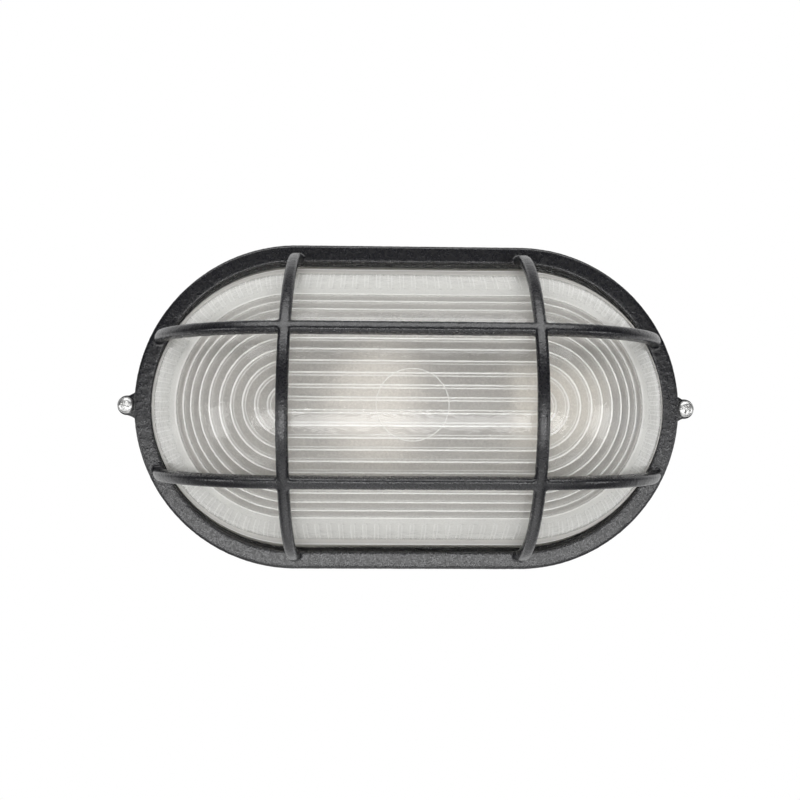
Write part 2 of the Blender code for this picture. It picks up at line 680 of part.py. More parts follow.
def make_grommet():
    """Blind rubber grommet; its outer flange lies sunk in the back of the base."""
    low = ENTRY_RECESS_DEPTH - SEAT_GAP - GROMMET_FLANGE
    groove_low = ENTRY_RECESS_DEPTH - SEAT_GAP
    groove_high = BASE_BACK + SEAT_GAP
    high = groove_high + GROMMET_FLANGE
    membrane_low = high - GROMMET_MEMBRANE
    profile = [
        (0.0, membrane_low),
        (GROMMET_BORE_RADIUS, membrane_low),
        (GROMMET_BORE_RADIUS, low),
        (GROMMET_FLANGE_RADIUS, low),
        (GROMMET_FLANGE_RADIUS, groove_low),
        (GROMMET_GROOVE_RADIUS, groove_low),
        (GROMMET_GROOVE_RADIUS, groove_high),
        (GROMMET_FLANGE_RADIUS, groove_high),
        (GROMMET_FLANGE_RADIUS - GROMMET_FLANGE, high),
        (0.0, high),
    ]
    turned("entry_grommet", profile, (0, 0, 1), (GROMMET_X, 0.0, 0.0), RUBBER)


# Glass and gasket


def dome_point(radius, turn):
    """Point of the glass section at an angle from the dome's axis."""
    centre_z = RING_Z - GLASS_CENTRE_DROP
    return (radius * math.sin(turn), centre_z + radius * math.cos(turn))


def dome_turn(radius, z):
    """Angle from the dome's axis at which a circle of this radius reaches a height."""
    return math.acos((z - RING_Z + GLASS_CENTRE_DROP) / radius)


def glass_profile():
    """Half section: out along the ribbed inside, round the flange and up the smooth outside."""
    inner = GLASS_RADIUS - GLASS_WALL
    inside = [dome_point(inner, 0.0)]
    for number in range(RIB_COUNT):
        middle = (number + 0.5) * RIB_PITCH_ANGLE
        inside.append(dome_point(inner, middle - RIB_WIDTH_ANGLE / 2))
        inside.append(dome_point(inner - RIB_HEIGHT, middle))
        inside.append(dome_point(inner, middle + RIB_WIDTH_ANGLE / 2))
    last_rib = RIB_COUNT * RIB_PITCH_ANGLE
    skirt = dome_turn(inner, FLANGE_Z) - last_rib
    for step in range(GLASS_SKIRT_STEPS + 1):
        inside.append(dome_point(inner, last_rib + skirt * step / GLASS_SKIRT_STEPS))
    flange = [(GLASS_FLANGE_RADIUS, FLANGE_Z), (GLASS_FLANGE_RADIUS, FLANGE_TOP_Z)]
    fillet_z = FLANGE_TOP_Z + GLASS_FOOT_FILLET
    foot_turn = dome_turn(GLASS_RADIUS, fillet_z)
    foot_radius = dome_point(GLASS_RADIUS, foot_turn)[0] + GLASS_FOOT_FILLET
    fillet = arc((foot_radius, fillet_z), GLASS_FOOT_FILLET, -math.pi / 2, -math.pi, 2)
    outside = []
    for step in range(GLASS_OUTSIDE_STEPS - 1, -1, -1):
        outside.append(dome_point(GLASS_RADIUS, foot_turn * step / GLASS_OUTSIDE_STEPS))
    return inside + flange + fillet + outside


def make_glass():
    oval("diffuser_glass", glass_profile(), GLASS, closed=False)


def make_gasket():
    low = BASE_DEPTH + SEAT_GAP
    high = COVER_UNDERSIDE_Z - SEAT_GAP
    web = GASKET_OUTER_RADIUS - GASKET_WEB
    profile = [
        (BASE_LEDGE_RADIUS, low),
        (GASKET_OUTER_RADIUS, low),
        (GASKET_OUTER_RADIUS, high),
        (BASE_LEDGE_RADIUS, high),
        (BASE_LEDGE_RADIUS, high - GASKET_LIP),
        (web, high - GASKET_LIP),
        (web, low + GASKET_LIP),
        (BASE_LEDGE_RADIUS, low + GASKET_LIP),
    ]
    oval("glass_gasket", profile, RUBBER)


# Screws and washers


def screw_profile(shank_radius, length, head_radius, head_height):
    """Pan head screw; height 0 is under the head and the head rises above it."""
    head = [(head_radius * out, head_height * up) for out, up in PAN_HEAD_CURVE]
    tip = [
        (0.0, -length),
        (SCREW_TIP_RADIUS_SHARE * shank_radius, -length),
        (shank_radius, -length + SCREW_TIP_HEIGHT_SHARE * shank_radius),
    ]
    return tip + [(shank_radius, 0.0)] + head + [(0.0, head_height)]


def small_screw(name, place, length=SMALL_SCREW_LENGTH, axis=(0, 0, 1), material=ZINC):
    """Screw whose head bears at place and whose shank runs back along the axis."""
    profile = screw_profile(
        SMALL_SCREW_SHANK_RADIUS, length, SMALL_SCREW_HEAD_RADIUS, SMALL_SCREW_HEAD_HEIGHT
    )
    return turned(name, profile, axis, place, material, SMALL_ROUND_STEPS)


def make_cover_screws():
    bottom = BASE_LUG_TOP_Z - BASE_LUG_HEIGHT + BASE_LUG_FLOOR
    under_head = COVER_LUG_TOP_Z + SEAT_GAP
    length = under_head - bottom - 2 * SEAT_GAP
    profile = screw_profile(
        COVER_SCREW_SHANK_RADIUS, length, COVER_SCREW_HEAD_RADIUS, COVER_SCREW_HEAD_HEIGHT
    )
    washer_bore = COVER_SCREW_SHANK_RADIUS + SEAT_GAP
    washer_profile = [
        (washer_bore, 0.0),
        (RETAINING_WASHER_RADIUS, 0.0),
        (RETAINING_WASHER_RADIUS, RETAINING_WASHER_THICKNESS),
        (washer_bore, RETAINING_WASHER_THICKNESS),
    ]
    for side, x in (("left", -LUG_OFFSET), ("right", LUG_OFFSET)):
        screw = turned(f"cover_screw_{side}", profile, (0, 0, 1), (x, 0.0, under_head), ZINC)
        recess_top = under_head + COVER_SCREW_HEAD_HEIGHT
        for number in range(2):
            slot = block(
                f"cross_slot_{side}_{number}",
                (COVER_SCREW_RECESS_SPAN, COVER_SCREW_RECESS_WIDTH, 2 * COVER_SCREW_RECESS_DEPTH),
                (x, 0.0, recess_top),
            )
            slot.rotation_euler = (0.0, 0.0, COVER_SCREW_TURN + number * math.pi / 2)
            combine(screw, slot, "DIFFERENCE")
        place = (x, 0.0, WASHER_Z)
        turned(f"retaining_washer_{side}", washer_profile, (0, 0, 1), place, NYLON)


# Reflector and bracket


def make_reflector():
    """Sheet pan; the open surface gets its thickness from Solidify."""
    edge_z = REFLECTOR_Z + REFLECTOR_EDGE_HEIGHT
    profile = [(0.0, REFLECTOR_Z), (REFLECTOR_FLOOR_RADIUS, REFLECTOR_Z), (REFLECTOR_RADIUS, edge_z)]
    pan = oval("reflector", profile, ALUMINIUM, closed=False)
    sheet = pan.modifiers.new("sheet", "SOLIDIFY")
    sheet.thickness = REFLECTOR_THICKNESS
    sheet.offset = -1.0
    low = REFLECTOR_Z - REFLECTOR_THICKNESS
    high = REFLECTOR_TOP_Z + REFLECTOR_THICKNESS
    clearance = SMALL_SCREW_SHANK_RADIUS + SCREW_CLEARANCE
    for name, (x, y) in reflector_posts().items():
        hole = post(name + "_pan_hole", clearance, x, y, low, high, HOLE_STEPS)
        combine(pan, hole, "DIFFERENCE")
        under_head = REFLECTOR_TOP_Z + SEAT_GAP
        if name.startswith("bracket"):
            under_head = BRACKET_Z + BRACKET_THICKNESS + SEAT_GAP
        small_screw(name, (x, y, under_head))
    wire_hole = post("wire_hole", WIRE_HOLE_RADIUS, WIRE_RISE_X, 0.0, low, high)
    combine(pan, wire_hole, "DIFFERENCE")


def bracket_outline():
    """The bent strip seen from the side, as (x, z) points."""
    outer = BRACKET_BEND_RADIUS + BRACKET_THICKNESS
    back = BRACKET_X + BRACKET_THICKNESS
    toe = back - BRACKET_FOOT_LENGTH
    top = BULB_AXIS_DEPTH + BRACKET_TOP_MARGIN
    centre = (back - outer, BRACKET_Z + outer)
    outer_bend = arc(centre, outer, -math.pi / 2, 0.0, 4)
    inner_bend = arc(centre, BRACKET_BEND_RADIUS, 0.0, -math.pi / 2, 4)
    heel = [(toe, BRACKET_Z + BRACKET_THICKNESS), (toe, BRACKET_Z)]
    return heel + outer_bend + [(back, top), (BRACKET_X, top)] + inner_bend


def make_bracket():
    upright = Matrix.Rotation(math.pi / 2, 4, "X")
    bracket = plate("holder_bracket", bracket_outline(), BRACKET_WIDTH, upright, ZINC)
    clearance = SMALL_SCREW_SHANK_RADIUS + SCREW_CLEARANCE
    low = BRACKET_Z - BRACKET_THICKNESS
    high = BRACKET_Z + 2 * BRACKET_THICKNESS
    for side in (-1, 1):
        y = side * BRACKET_SCREW_Y
        hole = post(f"bracket_hole_{side}", clearance, BRACKET_SCREW_X, y, low, high, HOLE_STEPS)
        combine(bracket, hole, "DIFFERENCE")
    through = disc(clearance, -BRACKET_THICKNESS, 2 * BRACKET_THICKNESS)
    window = disc(WIRE_RADIUS + 2 * WIRE_CLEARANCE, -BRACKET_THICKNESS, 2 * BRACKET_THICKNESS)
    along = (1, 0, 0)
    for side in (-1, 1):
        z = BULB_AXIS_DEPTH + side * HOLDER_SCREW_OFFSET
        place = (BRACKET_X, 0.0, z)
        hole = turned(f"holder_screw_hole_{side}", through, along, place, steps=HOLE_STEPS)
        combine(bracket, hole, "DIFFERENCE")
        place = (BRACKET_X, side * HOLDER_TERMINAL_OFFSET, BULB_AXIS_DEPTH)
        hole = turned(f"wire_window_{side}", window, along, place, steps=SMALL_ROUND_STEPS)
        combine(bracket, hole, "DIFFERENCE")


# Lampholder and bulb


def make_lampholder():
    mouth = HOLDER_LENGTH
    step = HOLDER_STEP_LENGTH
    bore_floor = HOLDER_LENGTH - HOLDER_BORE_DEPTH
    edge = HOLDER_CHAMFER
    profile = [
        (0.0, 0.0),
        (HOLDER_REAR_RADIUS - edge, 0.0),
        (HOLDER_REAR_RADIUS, edge),
        (HOLDER_REAR_RADIUS, step - edge),
        (HOLDER_RADIUS, step),
        (HOLDER_RADIUS, mouth - edge),
        (HOLDER_RADIUS - edge, mouth),
        (HOLDER_BORE_RADIUS, mouth),
        (HOLDER_BORE_RADIUS, bore_floor),
        (0.0, bore_floor),
    ]
    rear = (HOLDER_REAR_X, 0.0, BULB_AXIS_DEPTH)
    body = turned("lampholder_body", profile, (-1, 0, 0), rear, PORCELAIN)
    along = (1, 0, 0)
    screw_hole = disc(SMALL_SCREW_SHANK_RADIUS + SEAT_GAP, -HOLDER_SCREW_DEPTH, BRACKET_THICKNESS)
    wire_hole = disc(WIRE_RADIUS + WIRE_CLEARANCE, -HOLDER_TERMINAL_DEPTH, BRACKET_THICKNESS)
    under_head = BRACKET_X + BRACKET_THICKNESS + SEAT_GAP
    for side, word in ((-1, "rear"), (1, "front")):
        z = BULB_AXIS_DEPTH + side * HOLDER_SCREW_OFFSET
        place = (HOLDER_REAR_X, 0.0, z)
        hole = turned(f"holder_thread_{word}", screw_hole, along, place, steps=HOLE_STEPS)
        combine(body, hole, "DIFFERENCE")
        small_screw(f"holder_screw_{word}", (under_head, 0.0, z), axis=along)
        place = (HOLDER_REAR_X, side * HOLDER_TERMINAL_OFFSET, BULB_AXIS_DEPTH)
        hole = turned(f"holder_terminal_{word}", wire_hole, along, place, steps=HOLE_STEPS)
        combine(body, hole, "DIFFERENCE")


def make_lampholder_shell():
    """Screw shell: a drawn cup with a hole for the centre contact, its closed end to the rear."""
    rear = BORE_FLOOR_X - SEAT_GAP
    floor = SHELL_WALL
    profile = [
        (SHELL_HOLE_RADIUS, 0.0),
        (SHELL_OUTER_RADIUS, 0.0),
        (SHELL_OUTER_RADIUS, SHELL_LENGTH),
        (SHELL_INNER_RADIUS, SHELL_LENGTH),
        (SHELL_INNER_RADIUS, floor),
        (SHELL_HOLE_RADIUS, floor),
    ]
    place = (rear, 0.0, BULB_AXIS_DEPTH)
    turned("lampholder_shell", profile, (-1, 0, 0), place, BRASS)
    post_length = rear - BULB_BASE_X - SEAT_GAP
    contact = [
        (0.0, 0.0),
        (CONTACT_RADIUS, 0.0),
        (CONTACT_RADIUS, CONTACT_BASE_THICKNESS),
        (CONTACT_POST_RADIUS, CONTACT_BASE_THICKNESS),
        (CONTACT_POST_RADIUS, post_length),
        (0.0, post_length),
    ]
    turned("lampholder_contact", contact, (-1, 0, 0), place, BRASS, SMALL_ROUND_STEPS)


def bulb_profile():
    """From the centre contact to the tip of the globe, with the neck blended into the globe."""
    cap_start = BULB_INSULATOR_LENGTH
    globe_centre = BULB_LENGTH - BULB_GLOBE_RADIUS
    neck_end = BULB_CAP_LENGTH + BULB_COLLAR_LENGTH
    globe_start = globe_centre - BULB_GLOBE_START_SHARE * BULB_GLOBE_RADIUS
    start_turn = math.asin(BULB_GLOBE_START_SHARE)
    start_radius = BULB_GLOBE_RADIUS * math.cos(start_turn)
    points = [
        (0.0, 0.0),
        (BULB_CONTACT_RADIUS, 0.0),
        (BULB_INSULATOR_RADIUS, cap_start),
        (BULB_CAP_RADIUS, cap_start + BULB_CAP_CHAMFER),
        (BULB_CAP_RADIUS, BULB_CAP_LENGTH),
        (BULB_NECK_RADIUS, neck_end),
    ]
    for step in range(1, BULB_NECK_STEPS + 1):
        share = step / (BULB_NECK_STEPS + 1)
        blend = share * share * (3 - 2 * share)
        radius = BULB_NECK_RADIUS + (start_radius - BULB_NECK_RADIUS) * blend
        points.append((radius, neck_end + (globe_start - neck_end) * share))
    centre = (0.0, globe_centre)
    globe = arc(centre, BULB_GLOBE_RADIUS, -start_turn, math.pi / 2, BULB_GLOBE_STEPS)
    return points + globe[:-1] + [(0.0, BULB_LENGTH)]


def make_bulb():
    place = (BULB_BASE_X, 0.0, BULB_AXIS_DEPTH)
    turned("bulb", bulb_profile(), (-1, 0, 0), place, OPAL, BULB_ROUND_STEPS)


# Terminal block, wires and earth


def make_terminal_block():
    body = block(
        "terminal_block",
        (BLOCK_LENGTH, BLOCK_WIDTH, BLOCK_HEIGHT),
        (0.0, 0.0, BLOCK_Z + BLOCK_HEIGHT / 2),
        PORCELAIN,
    )
    edge = body.modifiers.new("edge", "BEVEL")
    edge.width = BLOCK_ROUNDING
    edge.segments = 1
    top = BLOCK_Z + BLOCK_HEIGHT
    wire_z = BLOCK_Z + BLOCK_HEIGHT / 2
    screw_bottom = top - TERMINAL_SCREW_SINK - TERMINAL_SCREW_LENGTH
    entry = disc(WIRE_RADIUS + WIRE_CLEARANCE, -WIRE_ENTRY_DEPTH - SEAT_GAP, BLOCK_ROUNDING)
    screw = disc(TERMINAL_SCREW_RADIUS, 0.0, TERMINAL_SCREW_LENGTH)
    well_radius = TERMINAL_SCREW_RADIUS + SEAT_GAP
    well_floor = screw_bottom - SEAT_GAP
    for side, word in ((-1, "neutral"), (1, "live")):
        y = side * TERMINAL_OFFSET
        well = post(f"{word}_well", well_radius, 0.0, y, well_floor, 2 * top, SMALL_ROUND_STEPS)
        combine(body, well, "DIFFERENCE")
        place = (BLOCK_LENGTH / 2, y, wire_z)
        hole = turned(f"{word}_entry", entry, (1, 0, 0), place, steps=HOLE_STEPS)
        combine(body, hole, "DIFFERENCE")
        place = (0.0, y, screw_bottom)
        turned(f"terminal_screw_{word}", screw, (0, 0, 1), place, BRASS, SMALL_ROUND_STEPS)
    seat = top - BLOCK_SCREW_SINK
    bore_radius = SMALL_SCREW_SHANK_RADIUS + SCREW_CLEARANCE
    bore = post("block_bore", bore_radius, 0.0, 0.0, 0.0, 2 * top, HOLE_STEPS)
    combine(body, bore, "DIFFERENCE")
    sink_radius = SMALL_SCREW_HEAD_RADIUS + SCREW_CLEARANCE
    sink = post("block_sink", sink_radius, 0.0, 0.0, seat, 2 * top, SMALL_ROUND_STEPS)
    combine(body, sink, "DIFFERENCE")
    small_screw("block_screw", (0.0, 0.0, seat + SEAT_GAP))


def wire_route(side):
    """Corner points of one wire, from the terminal block to the back of the lampholder."""
    wire_z = BLOCK_Z + BLOCK_HEIGHT / 2
    start_x = BLOCK_LENGTH / 2 - WIRE_ENTRY_DEPTH
    near = side * TERMINAL_OFFSET
    close = side * WIRE_SPACING
    far = side * HOLDER_TERMINAL_OFFSET
    end_x = HOLDER_REAR_X - HOLDER_TERMINAL_DEPTH + SEAT_GAP
    straight_x = start_x + WIRE_STRAIGHT_LENGTH
    return [
        (start_x, near, wire_z),
        (straight_x, near, wire_z),
        (straight_x + WIRE_CLOSING_LENGTH, close, wire_z),
        (WIRE_RISE_X, close, wire_z),
        (WIRE_RISE_X, close, BULB_AXIS_DEPTH / 2),
        (WIRE_RISE_X, far, BULB_AXIS_DEPTH - WIRE_BEND_RADIUS),
        (WIRE_RISE_X, far, BULB_AXIS_DEPTH),
        (end_x, far, BULB_AXIS_DEPTH),
    ]


def rounded_route(corners):
    """Rounds each corner of a route with a short quadratic curve."""
    points = [Vector(corners[0])]
    for before, corner, after in zip(corners, corners[1:], corners[2:]):
        corner = Vector(corner)
        arrive = corner - Vector(before)
        leave = Vector(after) - corner
        shorter = min(arrive.length, leave.length)
        trim = min(WIRE_BEND_RADIUS, WIRE_BEND_SHARE * shorter)
        start = corner - arrive.normalized() * trim
        end = corner + leave.normalized() * trim
        for step in range(WIRE_BEND_STEPS + 1):
            share = step / WIRE_BEND_STEPS
            points.append(start.lerp(corner, share).lerp(corner.lerp(end, share), share))
    points.append(Vector(corners[-1]))
    return points


def make_wires():
    for name, side, material in (("neutral_wire", -1, BLUE_SLEEVE), ("live_wire", 1, BROWN_SLEEVE)):
        points = rounded_route(wire_route(side))
        curve = bpy.data.curves.new(name, "CURVE")
        curve.dimensions = "3D"
        curve.bevel_depth = WIRE_RADIUS
        curve.bevel_resolution = 1
        curve.use_fill_caps = True
        spline = curve.splines.new("POLY")
        spline.points.add(len(points) - 1)
        for point, place in zip(spline.points, points):
            point.co = (*place, 1.0)
        curve.materials.append(material)
        wire = bpy.data.objects.new(name, curve)
        wire.parent = STAND
        PARTS.objects.link(wire)


def make_earth():
    top = BASE_BACK + EARTH_POST_HEIGHT
    bore = SMALL_SCREW_SHANK_RADIUS + SEAT_GAP
    profile = [
        (bore, 0.0),
        (EARTH_WASHER_RADIUS, 0.0),
        (EARTH_WASHER_RADIUS, EARTH_WASHER_THICKNESS),
        (bore, EARTH_WASHER_THICKNESS),
    ]
    place = (EARTH_X, EARTH_Y, top + SEAT_GAP)
    turned("earth_washer", profile, (0, 0, 1), place, BRASS, SMALL_ROUND_STEPS)
    place = (EARTH_X, EARTH_Y, top + 2 * SEAT_GAP + EARTH_WASHER_THICKNESS)
    small_screw("earth_screw", place, SMALL_SCREW_LENGTH - EARTH_WASHER_THICKNESS, material=BRASS)


make_base()
make_grommet()
make_gasket()
make_glass()
make_cover()
make_cover_screws()
make_reflector()
make_bracket()
make_lampholder()
make_lampholder_shell()
make_bulb()
make_terminal_block()
make_wires()
make_earth()
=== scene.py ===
"""Oval bulkhead wall lamp, dressed for the picture: smooth castings, ribbed pressed glass, coated metal.

Lengths are metres. The world has X along the oval, -Y towards the viewer and Z up the wall;
at(x, up, depth) gives a point from its distance along the oval, up the wall and out from it.
Sections of pieces are lists of (radius, depth) points, or of (radius, height) for turned ones.
"""

import json
import math

import bmesh
import bpy
from mathutils import Matrix, Vector


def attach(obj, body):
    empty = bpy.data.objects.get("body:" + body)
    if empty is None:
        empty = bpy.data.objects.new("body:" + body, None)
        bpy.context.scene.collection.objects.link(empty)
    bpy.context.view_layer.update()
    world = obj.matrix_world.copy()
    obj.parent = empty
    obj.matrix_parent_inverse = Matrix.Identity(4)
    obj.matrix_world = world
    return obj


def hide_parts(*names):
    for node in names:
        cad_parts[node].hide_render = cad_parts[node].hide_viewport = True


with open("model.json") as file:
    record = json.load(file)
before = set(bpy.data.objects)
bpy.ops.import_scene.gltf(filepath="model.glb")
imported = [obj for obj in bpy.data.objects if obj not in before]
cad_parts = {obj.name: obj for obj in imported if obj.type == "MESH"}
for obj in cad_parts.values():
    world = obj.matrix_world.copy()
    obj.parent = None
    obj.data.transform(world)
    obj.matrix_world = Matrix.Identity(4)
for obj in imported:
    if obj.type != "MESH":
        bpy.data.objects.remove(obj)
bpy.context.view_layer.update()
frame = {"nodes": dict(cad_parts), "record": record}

MM = 0.001

# Sizes: the oval and its section, which the pieces share

END = 55.0 * MM
RING_FACE = 46.6 * MM
RING_RADIUS = 80.0 * MM
OPENING_RADIUS = 71.6 * MM
COVER_WALL = 2.6 * MM
SKIRT_INNER_RADIUS = RING_RADIUS - COVER_WALL
SKIRT_BOTTOM = 32.0 * MM
DOME_CENTRE = 34.6 * MM
GLASS_RADIUS = 69.0 * MM
GLASS_INNER_RADIUS = 65.0 * MM
LUG_X = 140.4 * MM
ENTRY_X = -38.0 * MM
OUTWARDS = Vector((0.0, -1.0, 0.0))
SMOOTH_BELOW = math.radians(35.0)
END_STEPS = 64
ROUND_STEPS = 64
HOLE_STEPS = 40
BORE_STEPS = 32

# Sizes: lugs of cover and base

LUG_FLARE = 8.6 * MM
LUG_EDGE = 0.5 * MM
LUG_SWEEP_DEGREES = 100
LUG_STEPS = 28
COVER_LUG_RADIUS = 5.0 * MM
COVER_LUG_ROOT = 133.0 * MM
COVER_LUG_LOW = 32.0 * MM
COVER_LUG_HIGH = 39.0 * MM
BASE_LUG_RADIUS = 5.5 * MM
BASE_LUG_ROOT = 131.2 * MM
BASE_LUG_LOW = 9.2 * MM
BASE_LUG_HIGH = 30.2 * MM

# Sizes: cover casting

RING_EDGE = 1.5 * MM
RING_LIP = 0.4 * MM
RING_END_STEPS = 96
BAR_WIDTH = 5.4 * MM
BAR_DEPTH = 5.6 * MM
BAR_UNDERSIDE_SHARE = 0.7
CREST_POWER = 0.68
CREST_STEPS = 24
UPRIGHT_RADIUS = 75.2 * MM
UPRIGHT_STEPS = 90
LEVEL_OFFSET = 33.1 * MM
LEVEL_RADIUS = 76.0 * MM
LEVEL_STRAIGHT = 50.0 * MM
LEVEL_STEPS = 60
# Feet of the bars, which sink into the ring, bend in, flare and get thinner and rounder
FOOT_SINK = 1.6 * MM
FOOT_DROP = 22.0 * MM
FOOT_FLARE = 0.12
FOOT_FLARE_HEIGHT = 1.2 * MM
FOOT_THINNING = 0.25
FOOT_TAPER = 12.0 * MM
UPRIGHT_PULL = 1.2 * MM
LEVEL_PULL = 0.5 * MM
# Fusing and smoothing the casting
VOXEL = 0.5 * MM
SMOOTH_SHARE = 0.5
JOINT_ROUNDS = 12
EVEN_ROUNDS = 2
CROSSING_REACH = 5.5 * MM
FOOT_JOINT_LOW = 0.2 * MM
FOOT_JOINT_HIGH = 2.2 * MM
SKIN_GRAIN = 1.8 * MM
SKIN_HEIGHT = 0.16 * MM
KEPT_FACES = 0.37

# Sizes: base housing

BASE_DEPTH = 36.0 * MM
BASE_WALL = 2.6 * MM
BASE_FLOOR = 3.0 * MM
BASE_DRAFT = 1.5 * MM
BASE_FOOT_ROUNDING = 1.6 * MM
BASE_LEDGE_RADIUS = 71.6 * MM
BASE_LEDGE_HEIGHT = 4.0 * MM
BASE_RIM_RADIUS = 76.9 * MM
SHOULDER = 31.7 * MM
SHOULDER_RADIUS = 78.8 * MM
SHOULDER_CHAMFER = 0.3 * MM
LEDGE_FOOT = (76.0 * MM, 27.6 * MM)
LUG_BORE_RADIUS = 2.2 * MM
LUG_BORE_FLOOR = 12.2 * MM
LUG_BORE_TOP = 33.0 * MM
WALL_HOLE_X = 62.0 * MM
WALL_HOLE_RADIUS = 2.6 * MM
BOSS_RADIUS = 5.5 * MM
BOSS_LOW = 1.5 * MM
BOSS_HIGH = 4.5 * MM
KNOCKOUT_RADIUS = 10.0 * MM
KNOCKOUT_DEPTH = 1.0 * MM
KNOCKOUT_CUT = 3.0 * MM
ENTRY_RADIUS = 7.8 * MM
ENTRY_SINK_RADIUS = 9.8 * MM
ENTRY_SINK = 1.5 * MM
# Where the cuts through the floor start and stop
CUT_LOW = -3.0 * MM
HOLE_CUT_HIGH = 8.0 * MM
ENTRY_CUT_HIGH = 6.0 * MM

# Sizes: glass dome

# Faces of the third kind take a pale glass: painted highlights on rib and flute edges, painted light round
# the rim
CLEAR_KIND, FROSTED_KIND, PAINTED_LIGHT_KIND, RIM_KIND = range(4)
RIB_PITCH = math.radians(4.68)
RIB_COUNT = 11
RIB_RISE = 0.45 * MM
RIB_SHOULDER_SHARE = 0.75
RIB_HALF = math.radians(0.62)
RIB_STRIP = math.radians(0.32)
RIB_STEEP_FLANK = math.radians(0.12)
RIB_SOFT_FLANK = math.radians(0.24)
GLASS_SMOOTH_BELOW = math.radians(50.0)
# The round ends of the dome are a little longer than half circles
END_STRETCH = 1.044
STRETCHED_BELOW = 74.0 * MM
# The ribs' round ends sit a little nearer to the middle than the rim's
RIB_END_SHIFT = 1.9 * MM
RIB_SHIFT_STOP = 58.0 * MM
RIB_SHIFT_RUN = 12.0 * MM
FLANGE_LOW = 38.0 * MM
FLANGE_HIGH = 42.0 * MM
FLANGE_RADIUS = 75.0 * MM
FLANGE_CHAMFER = 0.6 * MM
GLASS_FILLET = 1.8 * MM
OUTSIDE_REACH = math.radians(78.0)
OUTSIDE_STEPS = 32
# The outside is painted pale, as painted light, up to one step from the rim and frosted up to the other
PAINTED_LIGHT_STEPS = 2
FROSTED_STEPS = 5
FLUTES_PER_END = 40
FLUTES_PER_STRAIGHT = 20
FLUTE_SHIFT = -1.45 * MM
FLUTE_RISE = 0.12 * MM
FLUTE_START = math.radians(53.5)
FLUTE_FINISH = math.radians(80.0)
FLUTE_END_CUT = math.radians(7.0)
# Across a flute: distance in millimetres, share of the rise
FLUTE_ACROSS = ((-1.1, 0.0), (-0.86, 0.75), (-0.62, 1.0), (0.62, 1.0), (0.86, 0.75), (1.1, 0.0))
# Round a flute's inner end: degrees past the start, share of the width, share of the rise
FLUTE_INNER_END = ((-0.4, 1.0, 0.0), (0.0, 0.45, 0.0), (0.35, 0.75, 0.7), (0.8, 0.95, 1.0), (1.4, 1.0, 1.0))
FLUTE_FLANKS = (1, 2, 4, 5)
FLUTE_TOP = 3
FLUTE_CLOSING_BANDS = (1, 2)
# Down to the rim: share of the run, share of the rise
FLUTE_RUN = ((0.2, 1.0), (0.35, 1.0), (0.5, 1.0), (0.65, 1.0), (0.8, 1.0), (0.92, 0.6), (1.0, 0.0))

# Sizes: mark on the dome

MARK_RADIUS = 15.6 * MM
MARK_UP = 0.3 * MM
MARK_THICKNESS = 0.2 * MM
MARK_SINK = 0.1 * MM
MARK_STEPS = 96

# Sizes: cover screws

SCREW_SEAT = 39.3 * MM
SCREW_HEAD = 2.7 * MM
SCREW_HEAD_RADIUS = 4.0 * MM
SCREW_HEAD_EDGE = 0.2 * MM
SCREW_SHANK_RADIUS = 1.9 * MM
SCREW_LENGTH = 20.0 * MM
SCREW_POINT = 1.0 * MM
CROSS_SIZE = (4.6 * MM, 3.0 * MM, 1.05 * MM)
CROSS_DEGREES = (20, 110)
SCREW_SMOOTH_BELOW = math.radians(30.0)
# Top of a pan head: share of the radius, share of the height
PAN_HEAD = ((1.0, 0.42), (0.97, 0.58), (0.88, 0.76), (0.7, 0.9), (0.4, 0.98), (0.0, 1.0))

# Sizes: cable-entry grommet

GROMMET_FLANGE_RADIUS = 9.5 * MM
GROMMET_GROOVE_RADIUS = 7.5 * MM
GROMMET_BORE_RADIUS = 5.0 * MM
GROMMET_BACK = 0.1 * MM
GROMMET_GROOVE_BACK = 1.2 * MM
GROMMET_GROOVE_FRONT = 3.3 * MM
GROMMET_MEMBRANE = 3.5 * MM
GROMMET_FRONT = 4.4 * MM
GROMMET_EDGE = 0.3 * MM
GROMMET_FLANGE_EDGE = 0.4 * MM

# Sizes: bulb

BULB_BASE_X = 74.0 * MM
BULB_AXIS_DEPTH = 50.0 * MM
BULB_GLOBE_RADIUS = 30.0 * MM
BULB_GLOBE_CENTRE = 88.0 * MM
BULB_CONTACT_RADIUS = 4.5 * MM
BULB_INSULATOR = (9.9 * MM, 3.5 * MM)
BULB_CAP_RADIUS = 13.2 * MM
BULB_CAP_START = 5.0 * MM
BULB_CAP_LENGTH = 25.0 * MM
BULB_GLOBE_STEPS = 24
BULB_GLOBE_START_DEGREES = -20
# Radius and distance from the contact, in millimetres, from the cap to the globe
BULB_NECK = ((14.5, 27.0), (15.2, 35.0), (17.3, 45.0), (20.8, 56.0), (24.6, 67.0), (27.2, 74.0))

# Sizes: where the looks change
# The frosting is painted darker, as painted shade on the crown, from the first Y to the second; the bulb
# greyer from the first X on

CROWN_SHADE_FADE = (-60.0 * MM, -95.0 * MM)
NECK_FADE = (-6.0 * MM, 12.0 * MM)

# Sizes: gasket

GASKET_OUTER_RADIUS = 76.7 * MM
GASKET_GROOVE_RADIUS = 75.3 * MM
GASKET_BACK = 36.3 * MM
GASKET_FRONT = 43.7 * MM
GASKET_LIP = 1.4 * MM
GASKET_CHAMFER = 0.3 * MM

# Sizes: floor, light and camera

FLOOR_LEVEL = -0.40
FLOOR_HALF = 3.0
FLOOR_Y = -0.14
# Distance from under the lamp where the floor's shadow fades to white
SHADOW_FADE = (0.1, 0.28)
# Glow that keeps the floor's shadow soft
SHADOW_LIFT = 0.3
# How bright the floor is in gloss: two places along its Y, then the strengths there
FLOOR_FOR_GLOSS = (0.1, 0.5, 0.12, 1.0)
LAMP_MIDDLE = (0.0, -0.05, 0.0)
